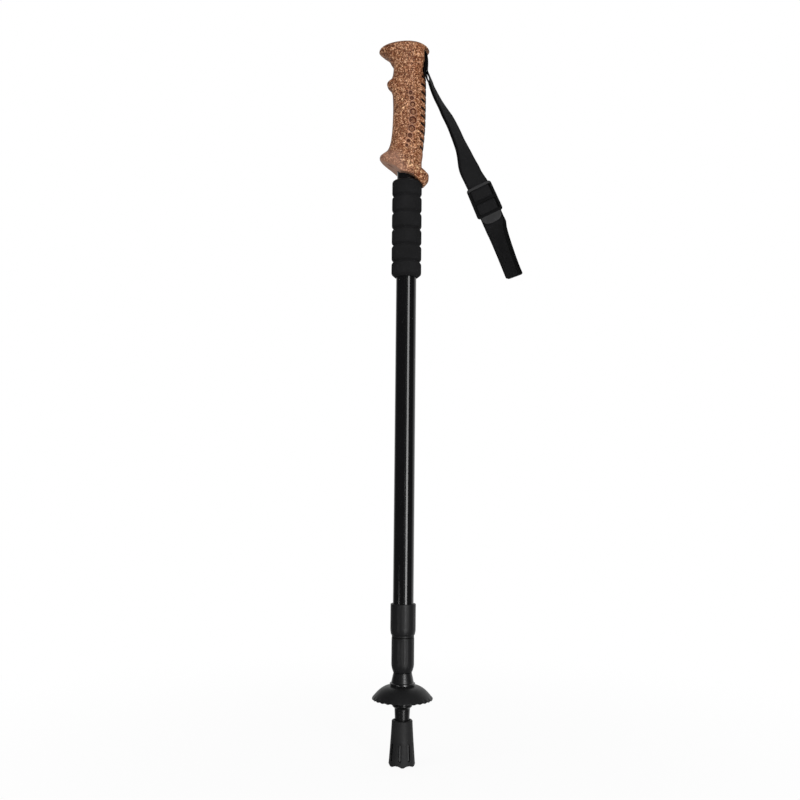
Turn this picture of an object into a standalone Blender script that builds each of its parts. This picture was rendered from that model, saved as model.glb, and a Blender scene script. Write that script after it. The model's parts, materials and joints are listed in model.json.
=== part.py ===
"""A telescopic walking stick, pushed together: three tubes with twist locks, a cork grip and a wrist strap.

Metres, +Z up along the stick. The origin is the middle of the rubber tip's flat foot.
The front of the grip, where the fingers lie, faces -X. The strap leaves its back, at +X.
"""

import math

import bmesh
import bpy
from mathutils import Matrix, Vector

# Clearances
FIT_GAP = 0.0003
SLIDE_GAP = 0.0003

# Tubes
UPPER_TUBE_D = 0.018
TUBE_WALL = 0.0007
UPPER_TUBE_LENGTH = 0.5025
UPPER_LOCK_ROOM = 0.052
MIDDLE_LOCK_ROOM = 0.074

# Rubber tip
RUBBER_HEIGHT = 0.0375
RUBBER_BASE_D = 0.0226
RUBBER_TOP_D = 0.0179
RUBBER_FLOOR = 0.004
RUBBER_EDGE = 0.0007
RUBBER_SHOULDER = 0.0018
RUBBER_SHOULDER_IN = 0.0011
RUBBER_RING_SHARES = (0, 0.35, 0.65, 0.88, 1)
RUBBER_TAPER_POWER = 1.15
TIP_SLOT_COUNT = 8
TIP_SLOT_WIDTH = 0.0022
TIP_SLOT_DEPTH = 0.0008
TIP_SLOT_LOW = 0.005
TIP_SLOT_HIGH = 0.019
TIP_SLOT_TURN = math.radians(-100.5)
WASHER_D = 0.0104
WASHER_THICKNESS = 0.001

# Tip holder, a plastic ferrule with a carbide point
CARBIDE_D = 0.005
CARBIDE_REACH = 0.0054
CARBIDE_STEM = 0.012
CARBIDE_CUP_DEPTH = 0.0009
CARBIDE_HEAD_D = 0.0064
CARBIDE_HEAD_THICKNESS = 0.0016
HOLDER_SHAFT_LENGTH = 0.037
HOLDER_SHAFT_TOP_D = 0.0132
HOLDER_SHAFT_TAPER = 0.086
THREAD_D = 0.0174
THREAD_DEPTH = 0.00065
THREAD_PITCH = 0.0025
THREAD_TURNS = 7
THREAD_RUN_OUT = 0.00065
FLANGE_D = 0.0219
FLANGE_THICKNESS = 0.0016
CONE_HEIGHT = 0.0086
CONE_BASE_D = 0.0196
CONE_TOP_WALL = 0.00065
SOCKET_DEPTH = 0.0223

# Mud basket
BASKET_D = 0.0523
BASKET_SAG = 0.0107
BASKET_WALL = 0.0017
BASKET_RIM_CHAMFER = 0.0006
BASKET_RIM_WAVE = 0.00035
BASKET_RIM_WAVES = 24
BASKET_RING_D = 0.0209
BASKET_RING_HEIGHT = 0.0004
BASKET_HUB_WALL = 0.002
BASKET_TURNS = 5

# Collars at the lower ends of the middle and the upper tube
COLLAR_LIP = 0.0029
MIDDLE_COLLAR_LENGTH = 0.0294
MIDDLE_COLLAR_WALL = 0.0015
MIDDLE_COLLAR_TAPER = 0.006
MIDDLE_COLLAR_FOOT_WALL = 0.00065
MIDDLE_COLLAR_BULGE = 0.67
UPPER_COLLAR_LENGTH = 0.0283
UPPER_COLLAR_WALL = 0.00165
UPPER_COLLAR_LIP_D = 0.0193
UPPER_COLLAR_LIP = 0.0022
UPPER_COLLAR_TAPER = 0.0057
COLLAR_CHAMFER = 0.0005
FLUTE_COUNT = 18
FLUTE_DEPTH = 0.00025
FLUTE_START = 0.0078
FLUTE_END_MARGIN = 0.0012

# Twist locks inside the tubes
PLUG_LENGTH = 0.028
PLUG_FLANGE = 0.003
LOCK_SCREW_D = 0.005
LOCK_SCREW_SEAT = 0.014
EXPANDER_LENGTH = 0.028
EXPANDER_BASE = 0.008
EXPANDER_RIM = 0.0012
EXPANDER_SEAT_STEP = 0.0006
EXPANDER_SLOT = 0.0012
WEDGE_CLEAR = 0.002
WEDGE_STAND = 0.003
WEDGE_KEY_RECESS = 0.0005
LOCK_TURNS = 1.5
LOCK_LEAD = 0.00125
STOP_RING_WALL = 0.0014
STOP_RING_LENGTH = 0.0025
SCREW_END = 0.001

# Grip
GRIP_CAP = 0.0261
GRIP_LENGTH = 0.1349
CROWN_HEIGHT = 0.0078
CROWN_ROUNDNESS = 2.0
CROWN_PEAK_X = 0.0005
CROWN_SHARES = (0.2, 0.5, 0.73, 0.88, 0.96)
GRIP_RINGS = 42
GRIP_SIDES = 32

# The underside of the grip's flared foot: place along X, then depth as a share of the grip's length
GRIP_FOOT = (
    (-0.0290, 0.788),
    (-0.0239, 0.816),
    (-0.0202, 0.836),
    (-0.0156, 0.856),
    (-0.0111, 0.876),
    (-0.0085, 0.893),
    (-0.0060, 0.909),
    (-0.0035, 0.915),
    (0.0004, 0.921),
    (0.0055, 0.936),
    (0.0106, 0.966),
    (0.0134, 0.981),
    (0.0160, 0.993),
)

# Depth below the crown as a share of the grip's length, then the cork beyond the bore: front, back, sides
GRIP_FRONT = (
    (0.049, 0.0160),
    (0.060, 0.0172),
    (0.080, 0.0144),
    (0.108, 0.0086),
    (0.136, 0.0064),
    (0.171, 0.0040),
    (0.208, 0.0043),
    (0.248, 0.0058),
    (0.280, 0.0098),
    (0.305, 0.0090),
    (0.332, 0.0059),
    (0.364, 0.0045),
    (0.461, 0.0040),
    (0.558, 0.0043),
    (0.669, 0.0055),
    (0.723, 0.0073),
    (0.751, 0.0094),
    (0.779, 0.0144),
    (0.799, 0.0168),
    (1.000, 0.0178),
)
GRIP_BACK = (
    (0.049, 0.0127),
    (0.061, 0.0093),
    (0.077, 0.0069),
    (0.095, 0.0059),
    (0.112, 0.0058),
    (0.178, 0.0058),
    (0.204, 0.0059),
    (0.227, 0.0065),
    (0.253, 0.0074),
    (0.361, 0.0075),
    (0.558, 0.0072),
    (0.668, 0.0062),
    (0.779, 0.0046),
    (0.834, 0.0037),
    (0.862, 0.0038),
    (0.888, 0.0074),
    (0.916, 0.0102),
    (0.948, 0.0099),
    (0.974, 0.0076),
    (1.000, 0.0038),
)
GRIP_SIDE = (
    (0.049, 0.0084),
    (0.108, 0.0076),
    (0.186, 0.0044),
    (0.268, 0.0035),
    (0.372, 0.0032),
    (0.558, 0.0032),
    (0.684, 0.0035),
    (0.751, 0.0045),
    (0.799, 0.0056),
    (0.877, 0.0058),
    (1.000, 0.0050),
)

# How square the back half of the grip's section is: 2 is an ellipse
BACK_SQUARENESS = (
    (0.058, 2.0),
    (0.085, 3.0),
    (0.105, 4.0),
    (0.150, 4.0),
    (0.230, 2.0),
    (1.000, 2.0),
)

# Hexagonal dimples down each side of the grip, and slanted grooves down its back
DIMPLE_SIZES = (0.0034, 0.0037, 0.0047, 0.0060, 0.0068, 0.0062, 0.0041, 0.0034, 0.0025)
DIMPLE_DEPTH = 0.0007
DIMPLE_GAP = 0.0014
DIMPLE_START_BELOW_CROWN = 0.0508
DIMPLE_BOW_X = 0.0048
DIMPLE_BOW_BELOW_CROWN = 0.0704
DIMPLE_BOW = 6.5
GROOVE_COUNT = 11
GROOVE_RADIUS = 0.0011
GROOVE_DEPTH = 0.0006
GROOVE_FROM_SPINE = 0.0012
GROOVE_SPACING = 0.00727
GROOVE_START_BELOW_CROWN = 0.0324
GROOVE_SLANT = math.radians(28)
GROOVE_REACH = 0.0085

# Foam sleeve below the grip
FOAM_D = 0.0266
FOAM_LENGTH = 0.0878
FOAM_IN_FOOT = 0.0058
FOAM_FOOT_CHAMFER = 0.0028
FOAM_FOOT_D = 0.0200
FOAM_HEAD_DROP = 0.0038
FOAM_HEAD_D = 0.0192
FOAM_HEAD_STEPS = 3
FOAM_GROOVES = 5
FOAM_GROOVE_PITCH = 0.01492
FOAM_GROOVE_START = 0.014
FOAM_GROOVE_DEPTH = 0.0017
FOAM_GROOVE_WIDTH = 0.0034

# Wrist strap: a pin in the grip's head, webbing round it, and a buckle
PIN_D = 0.003
PIN_BEYOND_BORE = 0.0007
PIN_BELOW_CROWN = 0.0104
PIN_SEAT = 0.0014
WEBBING_WIDTH = 0.020
WEBBING_THICKNESS = 0.0012
STRAP_LENGTH = 0.2225
LAYER_GAP = 0.0003
FOLD_RADIUS = 0.0011
TAIL_SHORT = 0.0004
POCKET_SIDE_GAP = 0.0006
POCKET_RADIUS = 0.0035
POCKET_ARC_END = math.radians(250)
BUCKLE_ALONG_STRAP = 0.1498
BUCKLE_LENGTH = 0.0292
BUCKLE_LIFT = 0.002
BUCKLE_RAIL = 0.0019
BUCKLE_SIDE_GAP = 0.0004
BUCKLE_THICKNESS = 0.0016
BUCKLE_TOP_BAR = 0.0026
BUCKLE_MIDDLE_BAR = 0.003
BUCKLE_BOTTOM_BAR = 0.0028
BUCKLE_CORNER = 0.0016
BUCKLE_TAB_WIDTH = 0.0183
BUCKLE_TAB_LENGTH = 0.0103
BUCKLE_TAB_SQUARENESS = 3.0
BUCKLE_HUMP_EASE = 0.0008

# The middle of the strap, as places back from the pin and up from it
STRAP_ROUTE = (
    (0.0000, 0.0000),
    (0.0038, -0.0019),
    (0.0056, -0.0033),
    (0.0064, -0.0055),
    (0.0068, -0.0098),
    (0.0068, -0.0138),
    (0.0073, -0.0174),
    (0.0085, -0.0211),
    (0.0101, -0.0245),
    (0.0124, -0.0305),
    (0.0169, -0.0406),
    (0.0238, -0.0529),
    (0.0314, -0.0678),
    (0.0361, -0.0790),
    (0.0408, -0.0901),
    (0.0471, -0.1088),
    (0.0540, -0.1214),
    (0.0599, -0.1350),
    (0.0678, -0.1535),
    (0.0690, -0.1563),
    (0.0716, -0.1640),
    (0.0808, -0.1893),
    (0.0869, -0.2054),
)

# Distance along the strap, then how far its width has turned from lying along Y
STRAP_TWIST = (
    (0.0000, math.radians(0)),
    (0.0215, math.radians(0)),
    (0.0247, math.radians(3)),
    (0.0284, math.radians(11)),
    (0.0349, math.radians(17)),
    (0.0452, math.radians(23)),
    (0.0572, math.radians(28)),
    (0.0652, math.radians(33)),
    (0.0742, math.radians(34)),
    (0.0862, math.radians(36)),
    (0.0982, math.radians(42)),
    (0.1062, math.radians(50)),
    (0.1177, math.radians(74)),
    (0.1272, math.radians(107)),
    (0.1342, math.radians(103)),
    (0.1735, math.radians(103)),
    (0.1822, math.radians(138)),
    (0.1912, math.radians(145)),
    (0.2092, math.radians(151)),
    (0.2232, math.radians(153)),
)

# The floor of the strap's pocket, as places back from the pin and up from it
POCKET_FLOOR = (
    (0.0020, -0.0046),
    (0.0038, -0.0052),
    (0.0046, -0.0062),
    (0.0051, -0.0080),
)

# Distance along the strap, then half the distance between the middles of its two legs
LEG_SPREAD = (
    (0.0000, PIN_D / 2 + FIT_GAP + WEBBING_THICKNESS / 2),
    (0.0045, 0.0020),
    (0.0075, 0.0009),
    (0.0090, 0.00075),
    (0.0180, 0.00075),
    (0.0205, 0.0011),
    (0.0250, 0.0012),
    (0.0290, (WEBBING_THICKNESS + LAYER_GAP) / 2),
)

# Facets of the round pieces
ROUND_SIDES = 36
HOLDER_SIDES = 28
LOCK_SIDES = 24
SMALL_SIDES = 16
BASKET_SIDES = 2 * BASKET_RIM_WAVES
DOME_STEPS = 5
SLOT_ARC_STEPS = 4
GROOVE_SIDES = 6
CORNER_STEPS = 3
FOOT_STEPS = 16
POCKET_STEPS = 7
WEBBING_STEP = 0.0045
WEBBING_EASE = 0.006
FOLD_STEPS = 7
TAB_STEPS = 10
SMOOTH_ANGLE = math.radians(32)
MERGE = 0.00001

# Radii that follow from the sizes above
UPPER_TUBE_R = UPPER_TUBE_D / 2
UPPER_BORE_R = UPPER_TUBE_R - TUBE_WALL
MIDDLE_TUBE_R = UPPER_BORE_R - SLIDE_GAP
MIDDLE_BORE_R = MIDDLE_TUBE_R - TUBE_WALL
LOWER_TUBE_R = MIDDLE_BORE_R - SLIDE_GAP
LOWER_BORE_R = LOWER_TUBE_R - TUBE_WALL
GRIP_BORE_R = UPPER_TUBE_R + FIT_GAP
THREAD_R = THREAD_D / 2

# Heights that follow, from the foot up
HOLDER_BOTTOM_Z = RUBBER_FLOOR + WASHER_THICKNESS + 2 * FIT_GAP + CARBIDE_REACH
THREAD_BOTTOM_Z = HOLDER_BOTTOM_Z + HOLDER_SHAFT_LENGTH
FLANGE_BOTTOM_Z = THREAD_BOTTOM_Z + THREAD_TURNS * THREAD_PITCH + 2 * THREAD_RUN_OUT
FLANGE_TOP_Z = FLANGE_BOTTOM_Z + FLANGE_THICKNESS
HOLDER_TOP_Z = FLANGE_TOP_Z + CONE_HEIGHT
LOWER_TUBE_Z = HOLDER_TOP_Z - SOCKET_DEPTH + FIT_GAP
MIDDLE_COLLAR_Z = HOLDER_TOP_Z + FIT_GAP
MIDDLE_TUBE_Z = MIDDLE_COLLAR_Z + COLLAR_LIP + FIT_GAP
UPPER_COLLAR_Z = MIDDLE_COLLAR_Z + MIDDLE_COLLAR_LENGTH + FIT_GAP
UPPER_TUBE_Z = UPPER_COLLAR_Z + UPPER_COLLAR_LIP + FIT_GAP
UPPER_TUBE_TOP_Z = UPPER_TUBE_Z + UPPER_TUBE_LENGTH
MIDDLE_TUBE_TOP_Z = UPPER_TUBE_TOP_Z - UPPER_LOCK_ROOM
LOWER_TUBE_TOP_Z = MIDDLE_TUBE_TOP_Z - MIDDLE_LOCK_ROOM
CROWN_Z = UPPER_TUBE_TOP_Z + FIT_GAP + GRIP_CAP
FOAM_TOP_Z = CROWN_Z - GRIP_LENGTH + FOAM_IN_FOOT
PIN_Z = CROWN_Z - PIN_BELOW_CROWN
PIN_X = GRIP_BORE_R + PIN_BEYOND_BORE
THREAD_CRESTS = [
    FLANGE_BOTTOM_Z - THREAD_RUN_OUT - (turn + 0.5) * THREAD_PITCH for turn in range(THREAD_TURNS)
]


def clear_scene():
    for obj in list(bpy.data.objects):
        bpy.data.objects.remove(obj, do_unlink=True)


def new_collection(name):
    made = bpy.data.collections.new(name)
    bpy.context.scene.collection.children.link(made)
    return made


clear_scene()
PART = new_collection("walking_stick")
HELPERS = new_collection("cutters")


def material(name, colour, roughness, metallic=0.0):
    made = bpy.data.materials.new(name)
    made.use_nodes = True
    shader = made.node_tree.nodes["Principled BSDF"]
    shader.inputs["Base Color"].default_value = (*colour, 1.0)
    shader.inputs["Roughness"].default_value = roughness
    shader.inputs["Metallic"].default_value = metallic
    return made


CORK = material("cork", (0.42, 0.24, 0.13), 0.75)
FOAM = material("foam", (0.012, 0.012, 0.013), 0.95)
GLOSS_BLACK = material("gloss_black", (0.006, 0.006, 0.007), 0.18)
MATT_BLACK = material("matt_black", (0.011, 0.011, 0.012), 0.5)
RUBBER = material("rubber", (0.014, 0.014, 0.015), 0.7)
WEBBING = material("webbing", (0.012, 0.012, 0.013), 0.9)
BUCKLE_GREY = material("buckle_grey", (0.03, 0.03, 0.032), 0.5)
STEEL = material("steel", (0.55, 0.55, 0.56), 0.3, 1.0)
CARBIDE = material("carbide", (0.22, 0.22, 0.23), 0.35, 1.0)
NYLON = material("nylon", (0.65, 0.65, 0.62), 0.5)


def body_empty(name, place, parent=None):
    """A body's own empty, on the axis of the joint that moves it."""
    made = bpy.data.objects.new(name, None)
    made.empty_display_size = 0.02
    made.location = place
    PART.objects.link(made)
    attach(made, parent)
    return made


def attach(obj, parent):
    """Parent obj, and keep it where it is."""
    if parent is None:
        return
    bpy.context.view_layer.update()
    obj.parent = parent
    obj.matrix_parent_inverse = parent.matrix_world.inverted()


def realised(obj):
    """Turn obj's modifiers into plain mesh."""
    bpy.context.view_layer.update()
    graph = bpy.context.evaluated_depsgraph_get()
    mesh = bpy.data.meshes.new_from_object(obj.evaluated_get(graph))
    obj.modifiers.clear()
    obj.data = mesh
    return obj


def linked(name, shape):
    """A new object of the part from a bmesh."""
    bmesh.ops.recalc_face_normals(shape, faces=shape.faces)
    mesh = bpy.data.meshes.new(name)
    shape.to_mesh(mesh)
    shape.free()
    obj = bpy.data.objects.new(name, mesh)
    PART.objects.link(obj)
    return obj


def turned(name, outline, sides=ROUND_SIDES):
    """Turn (radius, height) points, given down the outside and then up the inside."""
    mesh = bpy.data.meshes.new(name)
    edges = [(i, i + 1) for i in range(len(outline) - 1)]
    if outline[0][0] > MERGE or outline[-1][0] > MERGE:
        edges.append((len(outline) - 1, 0))
    mesh.from_pydata([(radius, 0, height) for radius, height in outline], edges, [])
    obj = bpy.data.objects.new(name, mesh)
    PART.objects.link(obj)
    screw = obj.modifiers.new("turn", "SCREW")
    screw.axis = "Z"
    screw.angle = math.tau
    screw.steps = sides
    screw.render_steps = sides
    screw.use_merge_vertices = True
    screw.merge_threshold = MERGE
    return realised(obj)


def sleeve(name, inner, outer, low, high, sides=ROUND_SIDES):
    return turned(name, [(outer, high), (outer, low), (inner, low), (inner, high)], sides)


def rod(name, radius, start, end, sides=SMALL_SIDES, turn=0.0):
    """A cylinder from one point to another, turned about its own axis."""
    start = Vector(start)
    end = Vector(end)
    shape = bmesh.new()
    bmesh.ops.create_cone(
        shape,
        cap_ends=True,
        segments=sides,
        radius1=radius,
        radius2=radius,
        depth=(end - start).length,
    )
    aim = (end - start).to_track_quat("Z", "Y").to_matrix().to_4x4()
    place = Matrix.Translation((start + end) / 2) @ aim @ Matrix.Rotation(turn, 4, "Z")
    bmesh.ops.transform(shape, matrix=place, verts=shape.verts)
    return linked(name, shape)


def block(name, low, high, place=Matrix.Identity(4)):
    """A box between two corners, in the frame of place."""
    low = Vector(low)
    high = Vector(high)
    shape = bmesh.new()
    bmesh.ops.create_cube(shape, size=1)
    size = Matrix.Diagonal((*(high - low), 1))
    bmesh.ops.transform(shape, matrix=place @ Matrix.Translation((low + high) / 2) @ size, verts=shape.verts)
    return linked(name, shape)


def plate(name, outline, thickness, place):
    """A flat outline with thickness, in the frame of place."""
    curve = bpy.data.curves.new(name, "CURVE")
    curve.dimensions = "2D"
    curve.fill_mode = "BOTH"
    curve.extrude = thickness / 2
    spline = curve.splines.new("POLY")
    spline.points.add(len(outline) - 1)
    for point, (x, y) in zip(spline.points, outline):
        point.co = (x, y, 0, 1)
    spline.use_cyclic_u = True
    guide = bpy.data.objects.new(name, curve)
    PART.objects.link(guide)
    bpy.context.view_layer.update()
    graph = bpy.context.evaluated_depsgraph_get()
    flat = bpy.data.meshes.new_from_object(guide.evaluated_get(graph))
    bpy.data.objects.remove(guide)
    shape = bmesh.new()
    shape.from_mesh(flat)
    bmesh.ops.remove_doubles(shape, verts=shape.verts, dist=MERGE)
    bmesh.ops.transform(shape, matrix=place, verts=shape.verts)
    return linked(name, shape)


def lofted(name, rings):
    """Skin closed rings of points, one after the other, and close both ends."""
    shape = bmesh.new()
    rows = [[shape.verts.new(point) for point in ring] for ring in rings]
    count = len(rows[0])
    for row, following in zip(rows, rows[1:]):
        for i in range(count):
            j = (i + 1) % count
            shape.faces.new((row[i], row[j], following[j], following[i]))
    shape.faces.new(rows[0])
    shape.faces.new(rows[-1])
    bmesh.ops.triangulate(shape, faces=shape.faces)
    return linked(name, shape)


def as_cutter(obj):
    """Put a helper out of the part, and out of the render."""
    PART.objects.unlink(obj)
    HELPERS.objects.link(obj)
    obj.hide_render = True
    obj.display_type = "WIRE"
    return obj


def gathered(name, pieces):
    """Put pieces that don't touch each other into one object."""
    shape = bmesh.new()
    for piece in pieces:
        shape.from_mesh(piece.data)
        bpy.data.objects.remove(piece)
    return linked(name, shape)


def combine(target, other, operation):
    change = target.modifiers.new(other.name, "BOOLEAN")
    change.operation = operation
    change.solver = "EXACT"
    change.object = as_cutter(other)
    target.modifiers.new("flat_faces", "TRIANGULATE")


def cut(target, *others):
    for other in others:
        combine(target, other, "DIFFERENCE")


def join(target, other):
    combine(target, other, "UNION")


def smooth_value(knots, place):
    """Read the smooth curve through (place, value) knots, level at peaks and straight past its ends."""
    slopes = [(b[1] - a[1]) / (b[0] - a[0]) for a, b in zip(knots, knots[1:])]
    tangents = [slopes[0]]
    for before, after in zip(slopes, slopes[1:]):
        level = before * after <= 0
        tangents.append(0.0 if level else 2 * before * after / (before + after))
    tangents.append(slopes[-1])
    if place <= knots[0][0]:
        return knots[0][1] + (place - knots[0][0]) * tangents[0]
    if place >= knots[-1][0]:
        return knots[-1][1] + (place - knots[-1][0]) * tangents[-1]
    i = max(k for k in range(len(slopes)) if knots[k][0] <= place)
    span = knots[i + 1][0] - knots[i][0]
    t = (place - knots[i][0]) / span
    start = (2 * t**3 - 3 * t**2 + 1) * knots[i][1] + (t**3 - 2 * t**2 + t) * span * tangents[i]
    end = (3 * t**2 - 2 * t**3) * knots[i + 1][1] + (t**3 - t**2) * span * tangents[i + 1]
    return start + end


def finish(obj, name, look, parent):
    """Name a piece, give it its material and hang it on its body."""
    realised(obj)
    obj.name = name
    obj.data.name = name
    obj.data.materials.clear()
    obj.data.materials.append(look)
    obj.data.shade_smooth()
    obj.data.set_sharp_from_angle(angle=SMOOTH_ANGLE)
    attach(obj, parent)


# Rubber tip


def rubber_outer_r(height):
    """The tip narrows quickly above the foot, then more slowly."""
    low = RUBBER_EDGE
    high = RUBBER_HEIGHT - RUBBER_SHOULDER
    share = (high - height) / (high - low)
    return (RUBBER_TOP_D + (RUBBER_BASE_D - RUBBER_TOP_D) * share**RUBBER_TAPER_POWER) / 2


def shaft_r(height):
    """The ferrule's shaft narrows towards the point."""
    return (HOLDER_SHAFT_TOP_D - HOLDER_SHAFT_TAPER * (THREAD_BOTTOM_Z - height)) / 2


def slot_cutter(index):
    """One upright slot in the tip's side: two round ends and a block between them."""
    turn = TIP_SLOT_TURN + index * math.tau / TIP_SLOT_COUNT
    half = TIP_SLOT_WIDTH / 2
    low = TIP_SLOT_LOW + half
    high = TIP_SLOT_HIGH - half
    outwards = Vector((math.cos(turn), math.sin(turn), 0))
    lean = (rubber_outer_r(low) - rubber_outer_r(high)) / (high - low)
    floor_r = rubber_outer_r(low) - TIP_SLOT_DEPTH
    start = outwards * floor_r + Vector((0, 0, low))
    upwards = (Vector((0, 0, 1)) - outwards * lean).normalized()
    aside = outwards.cross(upwards).normalized()
    depth = upwards.cross(aside).normalized()
    place = Matrix.Translation(start) @ Matrix((aside, upwards, depth)).transposed().to_4x4()
    arc = [math.pi * step / SLOT_ARC_STEPS for step in range(SLOT_ARC_STEPS + 1)]
    outline = [(half * math.cos(a), high - low + half * math.sin(a)) for a in arc]
    outline += [(-half * math.cos(a), -half * math.sin(a)) for a in arc]
    reach = RUBBER_BASE_D - RUBBER_TOP_D
    return plate("slot_cutter", outline, reach, place @ Matrix.Translation((0, 0, reach / 2)))


def build_rubber_tip(body):
    top = RUBBER_HEIGHT - RUBBER_SHOULDER
    heights = [top + (RUBBER_EDGE - top) * share for share in RUBBER_RING_SHARES]
    bore_top = shaft_r(RUBBER_HEIGHT) + FIT_GAP
    outline = [(0, RUBBER_FLOOR), (shaft_r(HOLDER_BOTTOM_Z) + FIT_GAP, RUBBER_FLOOR)]
    outline += [(bore_top, RUBBER_HEIGHT)]
    outline += [(RUBBER_TOP_D / 2 - RUBBER_SHOULDER_IN, RUBBER_HEIGHT)]
    outline += [(rubber_outer_r(height), height) for height in heights]
    outline += [(RUBBER_BASE_D / 2 - RUBBER_EDGE, 0), (0, 0)]
    tip = turned("rubber_tip", outline)
    cut(tip, gathered("slot_cutters", [slot_cutter(index) for index in range(TIP_SLOT_COUNT)]))
    finish(tip, "rubber_tip", RUBBER, body)
    low = RUBBER_FLOOR + FIT_GAP
    washer = turned(
        "washer",
        [(0, low + WASHER_THICKNESS), (WASHER_D / 2, low + WASHER_THICKNESS), (WASHER_D / 2, low), (0, low)],
        HOLDER_SIDES,
    )
    finish(washer, "rubber_tip_washer", STEEL, body)


# Tip holder, carbide point and basket


def build_tip_holder(body):
    socket_r = LOWER_TUBE_R + FIT_GAP
    socket_z = LOWER_TUBE_Z - FIT_GAP
    stem_r = CARBIDE_D / 2 + FIT_GAP
    stem_top = HOLDER_BOTTOM_Z + CARBIDE_STEM + FIT_GAP
    top_r = socket_r + CONE_TOP_WALL
    root = THREAD_R - THREAD_DEPTH
    outline = [(0, socket_z), (socket_r, socket_z), (socket_r, HOLDER_TOP_Z), (top_r, HOLDER_TOP_Z)]
    outline += [(CONE_BASE_D / 2, FLANGE_TOP_Z + FIT_GAP), (FLANGE_D / 2, FLANGE_TOP_Z)]
    outline += [(FLANGE_D / 2, FLANGE_BOTTOM_Z), (root, FLANGE_BOTTOM_Z)]
    for height in THREAD_CRESTS:
        outline += [(root, height + THREAD_PITCH / 2), (THREAD_R, height)]
    outline += [(root, THREAD_CRESTS[-1] - THREAD_PITCH / 2)]
    outline += [(THREAD_R - THREAD_DEPTH / 2, THREAD_BOTTOM_Z + THREAD_RUN_OUT / 2)]
    outline += [(shaft_r(THREAD_BOTTOM_Z), THREAD_BOTTOM_Z), (shaft_r(HOLDER_BOTTOM_Z), HOLDER_BOTTOM_Z)]
    outline += [(stem_r, HOLDER_BOTTOM_Z), (stem_r, stem_top), (0, stem_top)]
    finish(turned("holder", outline, HOLDER_SIDES), "tip_holder", GLOSS_BLACK, body)
    point_z = HOLDER_BOTTOM_Z - CARBIDE_REACH
    head_z = HOLDER_BOTTOM_Z - FIT_GAP
    stem = CARBIDE_D / 2
    head = CARBIDE_HEAD_D / 2
    outline = [(0, stem_top - FIT_GAP), (stem, stem_top - FIT_GAP), (stem, head_z), (head, head_z)]
    outline += [(head, head_z - CARBIDE_HEAD_THICKNESS), (stem, point_z), (0, point_z + CARBIDE_CUP_DEPTH)]
    finish(turned("carbide", outline, SMALL_SIDES), "carbide_tip", CARBIDE, body)


def dome(top_z, start, end):
    """Points down the basket's outer or inner side, from one distance from the axis to another."""
    flat = BASKET_RING_D / 2 + BASKET_RING_HEIGHT
    span = BASKET_D / 2 - flat
    places = [start + (end - start) * step / DOME_STEPS for step in range(DOME_STEPS + 1)]
    return [(place, top_z - BASKET_SAG * (max(0.0, place - flat) / span) ** 2) for place in places]


def build_basket(body):
    ring_top = FLANGE_BOTTOM_Z - FIT_GAP
    ring_r = BASKET_RING_D / 2
    dome_top = ring_top - BASKET_RING_HEIGHT
    flat = ring_r + BASKET_RING_HEIGHT
    rim_r = BASKET_D / 2
    rim_z = dome_top - BASKET_SAG
    inner_rim_r = flat + (rim_r - flat) * math.sqrt(1 - BASKET_WALL / BASKET_SAG)
    bore = THREAD_R - THREAD_DEPTH + FIT_GAP
    groove = THREAD_R + FIT_GAP
    hub_r = groove + BASKET_HUB_WALL
    crests = THREAD_CRESTS[:BASKET_TURNS]
    hub_bottom = crests[-1] - THREAD_PITCH / 2
    outline = [(ring_r, ring_top)]
    outline += dome(dome_top, flat, rim_r)
    outline += [(rim_r - BASKET_RIM_CHAMFER, rim_z - BASKET_RIM_CHAMFER)]
    outline += dome(dome_top - BASKET_WALL, inner_rim_r, hub_r)
    outline += [(hub_r, hub_bottom), (bore, hub_bottom)]
    for height in reversed(crests):
        outline += [(groove, height), (bore, height + THREAD_PITCH / 2)]
    outline += [(groove, ring_top)]
    basket = turned("basket", outline, BASKET_SIDES)
    for vertex in basket.data.vertices:
        reach = math.hypot(vertex.co.x, vertex.co.y)
        if reach > inner_rim_r - MERGE and vertex.co.z < rim_z + MERGE:
            turn = math.atan2(vertex.co.y, vertex.co.x)
            vertex.co.z += BASKET_RIM_WAVE * math.cos(BASKET_RIM_WAVES * turn)
    finish(basket, "mud_basket", MATT_BLACK, body)


# Tubes and collars


def flute(obj, low, high, count):
    """Press shallow upright flutes into a turned piece's outer side between two heights."""
    for vertex in obj.data.vertices:
        if low - MERGE <= vertex.co.z <= high + MERGE:
            turn = math.atan2(vertex.co.y, vertex.co.x)
            press = FLUTE_DEPTH * (1 - math.cos(count * turn)) / 2
            reach = math.hypot(vertex.co.x, vertex.co.y)
            vertex.co.x *= 1 - press / reach
            vertex.co.y *= 1 - press / reach


def build_tubes(upper, middle, lower):
    tube = sleeve("tube", UPPER_BORE_R, UPPER_TUBE_R, UPPER_TUBE_Z, UPPER_TUBE_TOP_Z)
    finish(tube, "upper_tube", GLOSS_BLACK, upper)
    tube = sleeve("tube", MIDDLE_BORE_R, MIDDLE_TUBE_R, MIDDLE_TUBE_Z, MIDDLE_TUBE_TOP_Z)
    finish(tube, "middle_tube", GLOSS_BLACK, middle)
    tube = sleeve("tube", LOWER_BORE_R, LOWER_TUBE_R, LOWER_TUBE_Z, LOWER_TUBE_TOP_Z)
    finish(tube, "lower_tube", GLOSS_BLACK, lower)


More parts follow.
